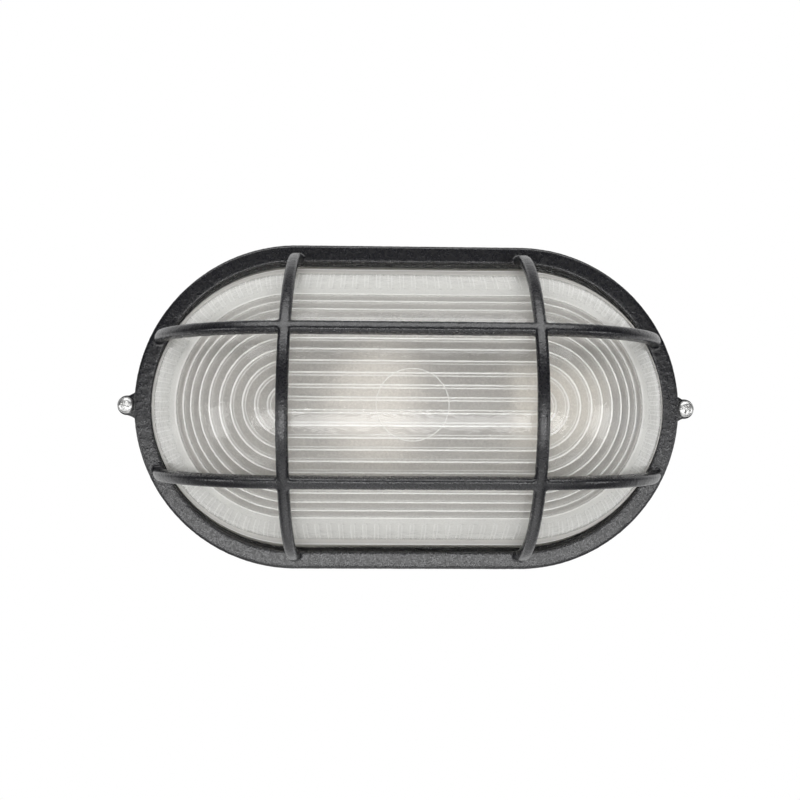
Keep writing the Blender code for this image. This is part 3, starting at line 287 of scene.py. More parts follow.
# Place, width and height, watts
LIGHTS = {
    "overhead": ((0.0, -0.6, 0.9), (1.6, 0.65), 8.6),
    "left_box": ((-0.84, -0.52, -0.17), (0.3, 0.36), 1.1),
    "right_box": ((0.88, -0.54, -0.15), (0.3, 0.36), 1.15),
    "low_front": ((0.0, -1.3, -0.28), (1.6, 0.28), 7.1),
    "under_front": ((0.0, -0.42, -0.375), (1.1, 0.1), 0.5),
    "front_lamp": ((-0.02, -1.3, -0.165), (0.17, 0.05), 0.1),
}
# How bright the world is in front and behind: two Y directions, then the strengths there
WORLD_FOR_LIGHT = (-0.2, 0.5, 0.17, 0.95)
WORLD_FOR_GLOSS = (0.05, 0.65, 0.015, 1.0)
WORLD_FOR_CAMERA = (0.0, 1.0, 1.0, 1.0)
CAMERA_PLACE = (-13.600 * MM, -462.286 * MM, -5.493 * MM)
CAMERA_YAW, CAMERA_PITCH, CAMERA_ROLL = -0.02279, 0.02148, -0.00661
FOCAL_PIXELS = 841.25
IMAGE_PIXELS = 800


def at(x, up, depth):
    return Vector((x, -depth, up))


def clamp(value):
    """The value, kept between 0 and 1."""
    return min(1.0, max(0.0, value))


# Shader nodes, for materials and for the world


def shader(name, color, roughness, metallic=0.0, **sockets):
    """A material with one Principled shader; the other sockets are given by name."""
    material = bpy.data.materials.new(name)
    material.use_nodes = True
    principled = material.node_tree.nodes["Principled BSDF"]
    principled.inputs["Base Color"].default_value = (*color, 1.0)
    principled.inputs["Roughness"].default_value = roughness
    principled.inputs["Metallic"].default_value = metallic
    for socket, value in sockets.items():
        principled.inputs[socket.replace("_", " ")].default_value = value
    return material


def node(owner, kind, **values):
    made = owner.node_tree.nodes.new("ShaderNode" + kind)
    for key, value in values.items():
        setattr(made, key, value)
    return made


def link(owner, start, end):
    owner.node_tree.links.new(start, end)


def principled_input(material, socket):
    return material.node_tree.nodes["Principled BSDF"].inputs[socket]


def noise(material, scale, detail=3.0, roughness=0.5, stretch=(1.0, 1.0, 1.0)):
    """Noise in object space, as a socket between 0 and 1; scale is in features per metre."""
    place = node(material, "TexCoord")
    mapping = node(material, "Mapping")
    mapping.inputs["Scale"].default_value = stretch
    pattern = node(material, "TexNoise")
    pattern.inputs["Scale"].default_value = scale
    pattern.inputs["Detail"].default_value = detail
    pattern.inputs["Roughness"].default_value = roughness
    link(material, place.outputs["Object"], mapping.inputs["Vector"])
    link(material, mapping.outputs["Vector"], pattern.inputs["Vector"])
    return pattern.outputs["Fac"]


def coordinate(owner, axis, space="Object"):
    """One coordinate of the shaded point, as a socket."""
    place = node(owner, "TexCoord")
    parts = node(owner, "SeparateXYZ")
    link(owner, place.outputs[space], parts.inputs[0])
    return parts.outputs[axis]


def spread(owner, source, low, high, to_low, to_high):
    """Maps a range of a socket onto another range."""
    mapped = node(owner, "MapRange")
    for index, value in enumerate((low, high, to_low, to_high), 1):
        mapped.inputs[index].default_value = value
    link(owner, source, mapped.inputs[0])
    return mapped.outputs[0]


def blend(material, factor, first, second):
    """Mixes two colours, each a colour or a socket."""
    mixed = node(material, "Mix", data_type="RGBA")
    for index, colour in ((6, first), (7, second)):
        if isinstance(colour, tuple):
            mixed.inputs[index].default_value = (*colour, 1.0)
        else:
            link(material, colour, mixed.inputs[index])
    link(material, factor, mixed.inputs[0])
    return mixed.outputs[2]


def mix_shaders(owner, factor, first, second):
    mix = node(owner, "MixShader")
    for place, source in zip(mix.inputs, (factor, first, second)):
        link(owner, source, place)
    return mix.outputs[0]


def background_rays(owner, path):
    """1 for the rays that see the background: from the camera, off gloss and through glass."""
    last = path.outputs["Is Camera Ray"]
    for kind in ("Is Glossy Ray", "Is Transmission Ray"):
        most = node(owner, "Math", operation="MAXIMUM")
        link(owner, last, most.inputs[0])
        link(owner, path.outputs[kind], most.inputs[1])
        last = most.outputs[0]
    return last


def tint(material, source, dark, light):
    """Base colour that goes from one colour to another with a socket."""
    ramp = node(material, "ValToRGB")
    ramp.color_ramp.elements[0].color = (*dark, 1.0)
    ramp.color_ramp.elements[1].color = (*light, 1.0)
    link(material, source, ramp.inputs["Fac"])
    link(material, ramp.outputs["Color"], principled_input(material, "Base Color"))


def rough(material, source, low, high):
    """Roughness that goes from low to high over the middle of a noise's range."""
    link(material, spread(material, source, 0.3, 0.7, low, high), principled_input(material, "Roughness"))


def bumps(material, *layers):
    """Chains bump nodes; each layer is (socket, distance in metres)."""
    last = None
    for source, distance in layers:
        bump = node(material, "Bump")
        bump.inputs["Strength"].default_value = 1.0
        bump.inputs["Distance"].default_value = distance
        link(material, source, bump.inputs["Height"])
        if last:
            link(material, last, bump.inputs["Normal"])
        last = bump.outputs["Normal"]
    link(material, last, principled_input(material, "Normal"))


def lamp_light(material, share):
    """Lets a share of the lamps' light through glass: shadow rays meet a clear surface instead."""
    clear = node(material, "BsdfTransparent")
    clear.inputs["Color"].default_value = (share, share, share, 1.0)
    path = node(material, "LightPath")
    nodes = material.node_tree.nodes
    glass = nodes["Principled BSDF"].outputs[0]
    mixed = mix_shaders(material, path.outputs["Is Shadow Ray"], glass, clear.outputs[0])
    link(material, mixed, nodes["Material Output"].inputs["Surface"])


# Materials


def coat_material():
    """Black powder coat on a casting: fine orange peel, a little metal grain, soft sheen."""
    coat = shader("black_powder_coat", (0.012, 0.012, 0.013), 0.3, Specular_IOR_Level=0.9)
    grain = noise(coat, 1000.0, 3.0, 0.6)
    tint(coat, spread(coat, grain, 0.35, 0.68, 0.0, 1.0), (0.0008, 0.0008, 0.0016), (0.010, 0.010, 0.014))
    rough(coat, grain, 0.38, 0.2)
    bumps(coat, (noise(coat, 220.0, 2.0), 0.00005), (grain, 0.00012))
    return coat


def clear_glass():
    """The smooth outside, with the slow waves and the fine skin of pressed glass."""
    clear = shader("glass_outside", (0.97, 0.975, 0.96), 0.12, Transmission_Weight=1.0, IOR=1.5)
    bumps(clear, (noise(clear, 150.0, 3.0, 0.6), 0.00028), (noise(clear, 500.0, 2.0), 0.00003))
    lamp_light(clear, 0.92)
    return clear


def speckle(material):
    """Fine speckle of a frosted surface, stretched to the whole range from 0 to 1."""
    source = noise(material, 1100.0, 3.0, 0.6)
    return source, spread(material, source, 0.3, 0.7, 0.0, 1.0)


def frosted_glass():
    """Frosted inside, with painted light: paler down the dome's sides and painted shade on its crown."""
    frosted = shader("glass_frosted", (0.7, 0.68, 0.65), 0.42, Transmission_Weight=0.7, IOR=1.5)
    grain, soft = speckle(frosted)
    # Painted light and shade: the sides' colours are paler, the crown's darker
    sides = blend(frosted, soft, (0.72, 0.70, 0.67), (0.86, 0.845, 0.81))
    crown = blend(frosted, soft, (0.57, 0.55, 0.525), (0.76, 0.735, 0.70))
    painted_crown_shade = spread(frosted, coordinate(frosted, "Y"), *CROWN_SHADE_FADE, 0.0, 1.0)
    colour = blend(frosted, painted_crown_shade, sides, crown)
    link(frosted, colour, principled_input(frosted, "Base Color"))
    bumps(frosted, (grain, 0.00006))
    lamp_light(frosted, 0.8)
    return frosted


def frosted_rim():
    """Thick frosted glass round the rim, where little shows through."""
    rim = shader("glass_frosted_rim", (0.78, 0.775, 0.75), 0.5, Transmission_Weight=0.2, IOR=1.5)
    tint(rim, speckle(rim)[1], (0.76, 0.755, 0.73), (0.84, 0.835, 0.81))
    lamp_light(rim, 0.8)
    return rim


def rib_edge():
    """Edges of ribs and flutes and a band round the rim, painted pale: painted highlights where light gathers
    in the glass.
    """
    edge = shader("glass_painted_light", (0.93, 0.925, 0.90), 0.4, Transmission_Weight=0.12, IOR=1.5)
    tint(edge, noise(edge, 700.0), (0.88, 0.875, 0.85), (0.96, 0.955, 0.94))
    lamp_light(edge, 0.8)
    return edge


def zinc_material():
    zinc = shader("zinc_plate", (0.62, 0.62, 0.61), 0.3, 1.0)
    tint(zinc, noise(zinc, 500.0), (0.7, 0.7, 0.7), (0.97, 0.97, 0.95))
    rough(zinc, noise(zinc, 900.0), 0.26, 0.5)
    bumps(zinc, (noise(zinc, 700.0), 0.00006))
    return zinc


def rubber_material():
    rubber = shader("black_rubber", (0.02, 0.02, 0.02), 0.7)
    tint(rubber, noise(rubber, 400.0), (0.016, 0.016, 0.016), (0.03, 0.03, 0.03))
    bumps(rubber, (noise(rubber, 1800.0), 0.00004))
    return rubber


def opal_material():
    """White globe of the bulb, which turns grey towards its neck in the lampholder."""
    opal = shader("opal_glass", (0.93, 0.90, 0.86), 0.2)
    neck = spread(opal, coordinate(opal, "X"), *NECK_FADE, 0.0, 1.0)
    globe = blend(opal, noise(opal, 60.0), (0.96, 0.91, 0.85), (0.99, 0.95, 0.90))
    link(opal, blend(opal, neck, globe, (0.34, 0.33, 0.32)), principled_input(opal, "Base Color"))
    return opal


def porcelain_material():
    porcelain = shader("white_porcelain", (0.86, 0.82, 0.74), 0.16, Coat_Weight=0.4)
    tint(porcelain, noise(porcelain, 120.0), (0.88, 0.83, 0.74), (0.93, 0.89, 0.82))
    bumps(porcelain, (noise(porcelain, 200.0), 0.00006))
    return porcelain


def brass_material():
    brass = shader("brass", (0.75, 0.55, 0.25), 0.3, 1.0)
    tint(brass, noise(brass, 300.0), (0.60, 0.42, 0.17), (0.80, 0.62, 0.30))
    rough(brass, noise(brass, 600.0), 0.22, 0.45)
    return brass


def sheet_material():
    """Dull aluminium sheet with its rolling marks along the oval."""
    sheet = shader("dull_aluminium", (0.45, 0.44, 0.42), 0.4, 1.0)
    grain = noise(sheet, 40.0, stretch=(1.0, 1.0, 40.0))
    tint(sheet, grain, (0.38, 0.37, 0.355), (0.52, 0.51, 0.49))
    rough(sheet, noise(sheet, 90.0), 0.28, 0.45)
    return sheet


def nylon_material():
    nylon = shader("natural_nylon", (0.62, 0.62, 0.60), 0.4)
    tint(nylon, noise(nylon, 300.0), (0.55, 0.55, 0.53), (0.68, 0.68, 0.66))
    return nylon


def sleeve(name, color, dark, light):
    """Plastic sleeve of a wire, faintly mottled."""
    material = shader(name, color, 0.45)
    tint(material, noise(material, 200.0), dark, light)
    return material


COAT = coat_material()
CLEAR = clear_glass()
FROSTED = frosted_glass()
FROSTED_RIM = frosted_rim()
PAINTED_LIGHT_GLASS = rib_edge()
ZINC = zinc_material()
RUBBER = rubber_material()
OPAL = opal_material()


# Mesh helpers


def finish_mesh(name, bm, materials, smooth_below=SMOOTH_BELOW):
    bmesh.ops.remove_doubles(bm, verts=bm.verts, dist=0.0005 * MM)
    bmesh.ops.recalc_face_normals(bm, faces=bm.faces)
    mesh = bpy.data.meshes.new(name)
    bm.to_mesh(mesh)
    bm.free()
    obj = bpy.data.objects.new(name, mesh)
    bpy.context.scene.collection.objects.link(obj)
    for material in materials:
        mesh.materials.append(material)
    smooth(obj, smooth_below)
    return obj


def smooth(obj, below):
    """Smooth shading, apart from edges sharper than an angle."""
    obj.data.shade_smooth()
    obj.data.set_sharp_from_angle(angle=below)


def modifier(obj, name, kind, **values):
    made = obj.modifiers.new(name, kind)
    for key, value in values.items():
        setattr(made, key, value)


def bake(obj):
    """Applies an object's modifiers."""
    bpy.context.view_layer.update()
    graph = bpy.context.evaluated_depsgraph_get()
    mesh = bpy.data.meshes.new_from_object(obj.evaluated_get(graph))
    obj.modifiers.clear()
    obj.data = mesh


def arc(centre, radius, start, end, steps):
    """Points on an arc between two angles in degrees."""
    points = []
    for step in range(steps + 1):
        turn = math.radians(start + (end - start) * step / steps)
        points.append((centre[0] + radius * math.cos(turn), centre[1] + radius * math.sin(turn)))
    return points


def disc(radius, low, high):
    """Section of a turned cylinder."""
    return [(0.0, low), (radius, low), (radius, high), (0.0, high)]


def stadium(bm, profile, steps, closed=True):
    """Carries a profile of (radius, depth) points round the oval."""
    columns = []
    for side, start in ((1, -math.pi / 2), (-1, math.pi / 2)):
        for step in range(steps + 1):
            turn = start + math.pi * step / steps
            across, up = math.cos(turn), math.sin(turn)
            columns.append([bm.verts.new(at(side * END + r * across, r * up, d)) for r, d in profile])
    edges = len(profile) if closed else len(profile) - 1
    for index, column in enumerate(columns):
        following = columns[(index + 1) % len(columns)]
        for row in range(edges):
            below = (row + 1) % len(profile)
            bm.faces.new((column[row], column[below], following[below], following[row]))


def lathe(bm, profile, place, axis, steps=ROUND_STEPS):
    """Turns an open profile of (radius, height) points, from axis to axis, about a line."""
    turn = Vector((0.0, 0.0, 1.0)).rotation_difference(Vector(axis)).to_matrix()
    rings = []
    for step in range(steps):
        angle = 2 * math.pi * step / steps
        across = Vector((math.cos(angle), math.sin(angle), 0.0))
        ring = [bm.verts.new(place + turn @ (across * r + Vector((0, 0, h)))) for r, h in profile]
        rings.append(ring)
    for index, ring in enumerate(rings):
        following = rings[(index + 1) % steps]
        for row in range(len(profile) - 1):
            bm.faces.new((ring[row], ring[row + 1], following[row + 1], following[row]))


def skin_rows(bm, rows):
    """Joins rows of vertices that each go round a section, and closes both ends."""
    for row, following in zip(rows, rows[1:]):
        for index in range(len(row)):
            bm.faces.new((row[index - 1], row[index], following[index], following[index - 1]))
    bm.faces.new(rows[0])
    bm.faces.new(rows[-1])


# Lugs of cover and base


def add_lug(bm, side, radius, root_x, low, high):
    """Round lug that widens to its root on the wall, as a closed slab with softened edges."""
    centre = Vector((LUG_X, 0.0))
    outline = [(root_x, -LUG_FLARE)]
    outline += arc(centre, radius, -LUG_SWEEP_DEGREES, LUG_SWEEP_DEGREES, LUG_STEPS)
    outline.append((root_x, LUG_FLARE))
    drawn_in = 1 - LUG_EDGE / radius
    rows = []
    for depth, scale in (
        (low, drawn_in),
        (low + LUG_EDGE, 1.0),
        (high - LUG_EDGE, 1.0),
        (high, drawn_in),
    ):
        row = []
        for x, up in outline:
            offset = Vector((x, up)) - centre
            spot = centre + offset * (scale if x > root_x else 1.0)
            row.append(bm.verts.new(at(side * spot.x, spot.y, depth)))
        rows.append(row)
    skin_rows(bm, rows)


# Cover casting: ring, skirt, lugs and cage fused and smoothed into one


def bar_outline(power):
    """Section of a bar as (across, outwards) points: flat underside, drawn sides, full crest."""
    half = BAR_WIDTH / 2
    underside = BAR_UNDERSIDE_SHARE * half
    crest = []
    for step in range(CREST_STEPS + 1):
        turn = math.pi * step / CREST_STEPS
        across = math.copysign(abs(math.cos(turn)) ** power, math.cos(turn))
        crest.append((half * across, BAR_DEPTH / 2 - half + half * math.sin(turn) ** power))
    return [(-underside, -BAR_DEPTH / 2), (underside, -BAR_DEPTH / 2)] + crest


def add_bar(bm, stations):
    """Sweeps the section along stations of (centre, outward, across); near the ring it gets
    rounder and thinner, and it flares where it enters the ring."""
    rows = []
    for centre, outward, across in stations:
        height = -centre.y - RING_FACE
        wide = 1 + FOOT_FLARE * max(0.0, 1 - height / FOOT_FLARE_HEIGHT)
        near = clamp(1 - height / FOOT_TAPER)
        thin = 1 - FOOT_THINNING * near
        row = []
        for side, out in bar_outline(CREST_POWER + (1 - CREST_POWER) * near):
            row.append(bm.verts.new(centre + across * side * wide + outward * out * thin))
        rows.append(row)
    skin_rows(bm, rows)


def foot_pull(depth, most):
    """How far a bar's end is drawn in towards the glass, most at the ring."""
    share = clamp(1 - (depth - RING_FACE) / FOOT_DROP)
    return most * share * share * (3 - 2 * share)


def upright_stations(x):
    """An upright bar: one arc over the dome."""
    reach = math.acos((RING_FACE - FOOT_SINK - DOME_CENTRE) / UPRIGHT_RADIUS)
    stations = []
    for step in range(-UPRIGHT_STEPS, UPRIGHT_STEPS + 1):
        turn = reach * step / UPRIGHT_STEPS
        outward = Vector((0.0, -math.cos(turn), math.sin(turn)))
        centre = at(x, 0.0, DOME_CENTRE) + outward * UPRIGHT_RADIUS
        centre.z -= math.copysign(foot_pull(-centre.y, UPRIGHT_PULL), centre.z)
        stations.append((centre, outward, Vector((1.0, 0.0, 0.0))))
    return stations


def level_stations(up):
    """A level bar: straight in the middle, bent down at both ends, its section square to the dome."""
    crossing = math.sqrt(UPRIGHT_RADIUS**2 - LEVEL_OFFSET**2)
    bend_centre = DOME_CENTRE + crossing - LEVEL_RADIUS
    reach = math.acos((RING_FACE - FOOT_SINK - bend_centre) / LEVEL_RADIUS)
    stations = []
    for side in (-1, 1):
        for step in range(LEVEL_STEPS + 1):
            turn = reach * (LEVEL_STEPS - step if side < 0 else step) / LEVEL_STEPS
            outward = Vector((side * math.sin(turn), -math.cos(turn), 0.0))
            centre = at(side * LEVEL_STRAIGHT, up, bend_centre) + outward * LEVEL_RADIUS
            centre.x -= side * foot_pull(-centre.y, LEVEL_PULL)
            along = Vector((math.cos(turn), side * math.sin(turn), 0.0))
            hub = at(max(-END, min(END, centre.x)), 0.0, DOME_CENTRE)
            lean = centre - hub
            lean = (lean - along * lean.dot(along)).normalized()
            stations.append((centre, lean, along.cross(lean)))
    return stations


def ring_profile():
    return [
        (SKIRT_INNER_RADIUS, SKIRT_BOTTOM),
        (RING_RADIUS, SKIRT_BOTTOM),
        *arc((RING_RADIUS - RING_EDGE, RING_FACE - RING_EDGE), RING_EDGE, 0, 90, 8),
        *arc((OPENING_RADIUS + RING_LIP, RING_FACE - RING_LIP), RING_LIP, 90, 180, 4),
        (OPENING_RADIUS, RING_FACE - COVER_WALL),
        (SKIRT_INNER_RADIUS, RING_FACE - COVER_WALL),
    ]


def joint_vertices(mesh):
    """Vertices where bars cross and where they meet the ring."""
    near = []
    for vertex in mesh.vertices:
        x, depth, up = abs(vertex.co.x), -vertex.co.y, abs(vertex.co.z)
        crossing = math.hypot(x - END, up - LEVEL_OFFSET) < CROSSING_REACH
        foot = FOOT_JOINT_LOW < depth - RING_FACE < FOOT_JOINT_HIGH
        if crossing or foot:
            near.append(vertex.index)
    return near


def make_cover():
    bm = bmesh.new()
    stadium(bm, ring_profile(), RING_END_STEPS)
    for x in (-END, END):
        add_bar(bm, upright_stations(x))
    for up in (-LEVEL_OFFSET, LEVEL_OFFSET):
        add_bar(bm, level_stations(up))
    for side in (-1, 1):
        add_lug(bm, side, COVER_LUG_RADIUS, COVER_LUG_ROOT, COVER_LUG_LOW, COVER_LUG_HIGH)
    cover = finish_mesh("cover_casting", bm, [COAT])
    modifier(cover, "fuse", "REMESH", mode="VOXEL", voxel_size=VOXEL)
    bake(cover)
    joints = cover.vertex_groups.new(name="joints")
    joints.add(joint_vertices(cover.data), 1.0, "REPLACE")
    modifier(cover, "fillet", "SMOOTH", factor=SMOOTH_SHARE, iterations=JOINT_ROUNDS, vertex_group="joints")
    modifier(cover, "even", "SMOOTH", factor=SMOOTH_SHARE, iterations=EVEN_ROUNDS)
    grain = bpy.data.textures.new("casting_skin", "CLOUDS")
    grain.noise_scale = SKIN_GRAIN
    grain.noise_depth = 1
    modifier(cover, "uneven", "DISPLACE", texture=grain, strength=SKIN_HEIGHT)
    modifier(cover, "thin", "DECIMATE", ratio=KEPT_FACES)
    bake(cover)
    cover.data.shade_smooth()
    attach(cover, "root")
    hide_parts("cover_cage")


# Base housing


def wall_radius(depth):
    """Outside radius of the drafted wall at a depth."""
    return SHOULDER_RADIUS - BASE_DRAFT * (1 - depth / SHOULDER)


def base_outline():
    inner = wall_radius(BASE_FLOOR) - BASE_WALL
    foot = BASE_FOOT_ROUNDING
    return [
        (0.0, 0.0),
        *arc((wall_radius(0.0) - foot, foot), foot, -90, 0, 6),
        (SHOULDER_RADIUS - SHOULDER_CHAMFER, SHOULDER - SHOULDER_CHAMFER),
        (SHOULDER_RADIUS - SHOULDER_CHAMFER, SHOULDER),
        (BASE_RIM_RADIUS, SHOULDER),
        (BASE_RIM_RADIUS, BASE_DEPTH),
        (BASE_LEDGE_RADIUS, BASE_DEPTH),
        (BASE_LEDGE_RADIUS, BASE_DEPTH - BASE_LEDGE_HEIGHT),
        LEDGE_FOOT,
        (inner, BASE_FLOOR + foot),
        (inner - foot, BASE_FLOOR),
        (0.0, BASE_FLOOR),
    ]


def helper(obj, name, bm, operation):
    """Makes a hidden solid that is added to or cut from an object, and returns it."""
    solid = finish_mesh(name, bm, obj.data.materials[:])
    solid.hide_render = True
    modifier(obj, name, "BOOLEAN", operation=operation, object=solid, solver="EXACT")
    return solid


def remove(objects):
    for obj in objects:
        bpy.data.objects.remove(obj)


def base_helpers(base):
    """Lugs and bosses that are added to the base, and bores and recesses that are cut from it."""
    solids = []

    def turned(name, section, place, operation="DIFFERENCE", axis=OUTWARDS, steps=ROUND_STEPS):
        bm = bmesh.new()
        lathe(bm, section, place, axis, steps)
        solids.append(helper(base, name, bm, operation))

    for side in (-1, 1):
        bm = bmesh.new()
        add_lug(bm, side, BASE_LUG_RADIUS, BASE_LUG_ROOT, BASE_LUG_LOW, BASE_LUG_HIGH)
        solids.append(helper(base, f"lug{side}", bm, "UNION"))
        lug = at(side * LUG_X, 0.0, 0.0)
        turned(f"lug_bore{side}", disc(LUG_BORE_RADIUS, LUG_BORE_FLOOR, LUG_BORE_TOP), lug, steps=BORE_STEPS)
        hole = at(side * WALL_HOLE_X, 0.0, 0.0)
        turned(f"boss{side}", disc(BOSS_RADIUS, BOSS_LOW, BOSS_HIGH), hole, "UNION", steps=HOLE_STEPS)
        turned(f"hole{side}", disc(WALL_HOLE_RADIUS, CUT_LOW, HOLE_CUT_HIGH), hole, steps=HOLE_STEPS)
        middle = SHOULDER / 2
        flank = at(0.0, side * (wall_radius(middle) - KNOCKOUT_DEPTH), middle)
        turned(f"knock{side}", disc(KNOCKOUT_RADIUS, 0.0, KNOCKOUT_CUT), flank, axis=(0, 0, side))
    entry = at(ENTRY_X, 0.0, 0.0)
    turned("entry", disc(ENTRY_RADIUS, CUT_LOW, ENTRY_CUT_HIGH), entry)
    turned("entry_sink", disc(ENTRY_SINK_RADIUS, CUT_LOW, ENTRY_SINK), entry)
    return solids


def make_base():
    bm = bmesh.new()
    stadium(bm, base_outline(), END_STEPS, closed=False)
    base = finish_mesh("base_casting", bm, [COAT])
    solids = base_helpers(base)
    bake(base)
    smooth(base, SMOOTH_BELOW)
    remove(solids)
    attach(base, "root")
    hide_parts("base_housing")


# Glass dome: ribs and rim flutes stand on its inner side


def dome(radius, turn):
    """Point of the dome's section at an angle down from its crown."""
    return (radius * math.sin(turn), DOME_CENTRE + radius * math.cos(turn))


def cells():
    """Flute cells round the oval: (straight or end, side, place of its start, its end)."""
    made = []
    turn = math.pi / FLUTES_PER_END
    width = 2 * END / FLUTES_PER_STRAIGHT
    for side in (1, -1):
        for number in range(FLUTES_PER_END):
            start = -side * math.pi / 2 + turn * number
            made.append(("end", side, start, start + turn))
        for number in range(FLUTES_PER_STRAIGHT):
            start = side * (END - width * number)
            made.append(("straight", side, start, start - side * width))
    return made


def oval_point(cell, share, shift, radius, depth):
    """Point of a cell at a share of its length and a shift along the oval."""
    kind, side, start, end = cell
    if kind == "straight":
        x = start + (end - start) * share - side * shift
        return at(x, side * radius, depth)
    turn = start + (end - start) * share + shift / max(radius, MM)
    stretch = END_STRETCH if radius < STRETCHED_BELOW else 1.0
    inward = RIB_END_SHIFT * clamp((RIB_SHIFT_STOP - radius) / RIB_SHIFT_RUN)
    x = side * (END - inward) + radius * stretch * math.cos(turn)
    return at(x, radius * math.sin(turn), depth)


def end_share(cell):
    """1 at the very ends of the oval, 0 on its straights."""
    kind, side, start, end = cell
    return math.cos((start + end) / 2) ** 2 if kind == "end" else 0.0


def rib_rows():
    """Half section of the ribbed inner side: each point with the kind of the face after it."""
    foot = GLASS_INNER_RADIUS
    shoulder = foot - RIB_SHOULDER_SHARE * RIB_RISE
    top = foot - RIB_RISE
    # Flank faces of the third kind take the pale glass: painted highlight lines
    section = (
        (foot, -RIB_HALF - RIB_STEEP_FLANK, PAINTED_LIGHT_KIND),
        (shoulder, -RIB_HALF, PAINTED_LIGHT_KIND),
        (top, -RIB_HALF + RIB_STRIP, FROSTED_KIND),
        (top, RIB_HALF - RIB_SOFT_FLANK, PAINTED_LIGHT_KIND),
        (shoulder, RIB_HALF, PAINTED_LIGHT_KIND),
        (foot, RIB_HALF + RIB_SOFT_FLANK, FROSTED_KIND),
    )
    rows = []
    for number in range(RIB_COUNT):
        middle = (number + 0.5) * RIB_PITCH
        rows += [(dome(radius, middle + turn), kind) for radius, turn, kind in section]
    return rows


def outside_rows():
    """The rest of the section, from the flange over the smooth outside nearly to the crown:
    each point with the kind of the face after it."""
    foot = math.acos((FLANGE_LOW - DOME_CENTRE) / GLASS_INNER_RADIUS)
    turn = math.acos((FLANGE_HIGH + GLASS_FILLET - DOME_CENTRE) / GLASS_RADIUS)
    fillet_centre = (dome(GLASS_RADIUS, turn)[0] + GLASS_FILLET, FLANGE_HIGH + GLASS_FILLET)
    flange = [
        dome(GLASS_INNER_RADIUS, foot),
        (FLANGE_RADIUS - FLANGE_CHAMFER, FLANGE_LOW),
        (FLANGE_RADIUS, FLANGE_LOW + FLANGE_CHAMFER),
        (FLANGE_RADIUS, FLANGE_HIGH - FLANGE_CHAMFER),
        (FLANGE_RADIUS - FLANGE_CHAMFER, FLANGE_HIGH),
        *arc(fillet_centre, GLASS_FILLET, -90, -180, 5),
    ]
    kinds = [CLEAR_KIND] * (len(flange) - 1)
    outside = []
    for step in range(OUTSIDE_STEPS + 1):
        outside.append(dome(GLASS_RADIUS, OUTSIDE_REACH * (OUTSIDE_STEPS - step) / OUTSIDE_STEPS))
        # Painted light: the steps nearest the rim take the pale glass
        if step <= PAINTED_LIGHT_STEPS:
            kinds.append(PAINTED_LIGHT_KIND)
        elif step <= FROSTED_STEPS:
            kinds.append(FROSTED_KIND)
        else:
            kinds.append(CLEAR_KIND)
    return list(zip(flange + outside, kinds))


def band(bm, ring, following, kind):
    """Faces between two plain rings."""
    for index in range(len(ring)):
        after = (index + 1) % len(ring)
        face = bm.faces.new((ring[index], following[index], following[after], ring[after]))
        face.material_index = kind


def plain_rings(bm, rows, around):
    """Rings of vertices, one for each row of a section, with the faces between them."""
    rings = []
    for (radius, depth), kind in rows:
        rings.append([bm.verts.new(oval_point(cell, 0.0, 0.0, radius, depth)) for cell in around])
    for ring, following, (point, kind) in zip(rings, rings[1:], rows):
        band(bm, ring, following, kind)
    return rings


def flute_stations(cell):
    """Stations down a flute as (angle from the crown, share of the width, share of the rise)."""
    run = FLUTE_FINISH - FLUTE_END_CUT * end_share(cell) - FLUTE_START
    stations = [(FLUTE_START + math.radians(past), width, rise) for past, width, rise in FLUTE_INNER_END]
    return stations + [(FLUTE_START + run * share, 1.0, rise) for share, rise in FLUTE_RUN]


def flute_section(bm, cell, turn, width, rise):
    """Vertices across one cell: its boundary, then the flute."""
    kind, side = cell[:2]
    shift = -side * FLUTE_SHIFT if kind == "straight" else 0.0
    section = [bm.verts.new(oval_point(cell, 0.0, 0.0, *dome(GLASS_INNER_RADIUS, turn)))]
    for across, height in FLUTE_ACROSS:
        inner = dome(GLASS_INNER_RADIUS - FLUTE_RISE * rise * height, turn)
        section.append(bm.verts.new(oval_point(cell, 0.5, shift + across * width * MM, *inner)))
    return section


def flute_rings(bm, around):
    """Rings of one flute section for each cell, from the flutes' inner ends to the rim."""
    rings = []
    for stations in zip(*(flute_stations(cell) for cell in around)):
        rings.append([flute_section(bm, cell, *station) for cell, station in zip(around, stations)])
    return rings


def flute_band(bm, ring, following, closing):
    """Faces between two flute rings; closing is true on the rounded inner ends."""
    for index in range(len(ring)):
        after = (index + 1) % len(ring)
        upper = ring[index] + [ring[after][0]]
        lower = following[index] + [following[after][0]]
        for column in range(len(upper) - 1):
            face = bm.faces.new((upper[column], lower[column], lower[column + 1], upper[column + 1]))
            # Flute flanks take the pale glass: painted highlight lines
            flank = column in FLUTE_FLANKS or (closing and column == FLUTE_TOP)
            face.material_index = PAINTED_LIGHT_KIND if flank else RIM_KIND


def joining_band(bm, plain, fine, fine_below, kind):
    """Many-sided faces between a plain ring and a flute ring."""
    for index in range(len(plain)):
        after = (index + 1) % len(plain)
        many = fine[index] + [fine[after][0]]
        if fine_below:
            loop = [plain[index]] + many + [plain[after]]
        else:
            loop = [plain[after]] + many[::-1] + [plain[index]]
        face = bm.faces.new(loop)
        face.material_index = kind


def crown_band(bm, ring, radius, kind):
    """Faces from the innermost ring to the line along the crown of the dome."""
    depth = dome(radius, 0.0)[1]
    width = 2 * END / FLUTES_PER_STRAIGHT
    line = [bm.verts.new(at(-END + width * number, 0.0, depth)) for number in range(FLUTES_PER_STRAIGHT + 1)]
    right = [line[-1]] * FLUTES_PER_END
    left = [line[0]] * FLUTES_PER_END
    beside = right + line[::-1][:-1] + left + line[:-1]
    for index, vertex in enumerate(ring):
        after = (index + 1) % len(ring)
        corners = [vertex, ring[after], beside[after]]
        if beside[index] is not beside[after]:
            corners.append(beside[index])
        face = bm.faces.new(corners)
        face.material_index = kind


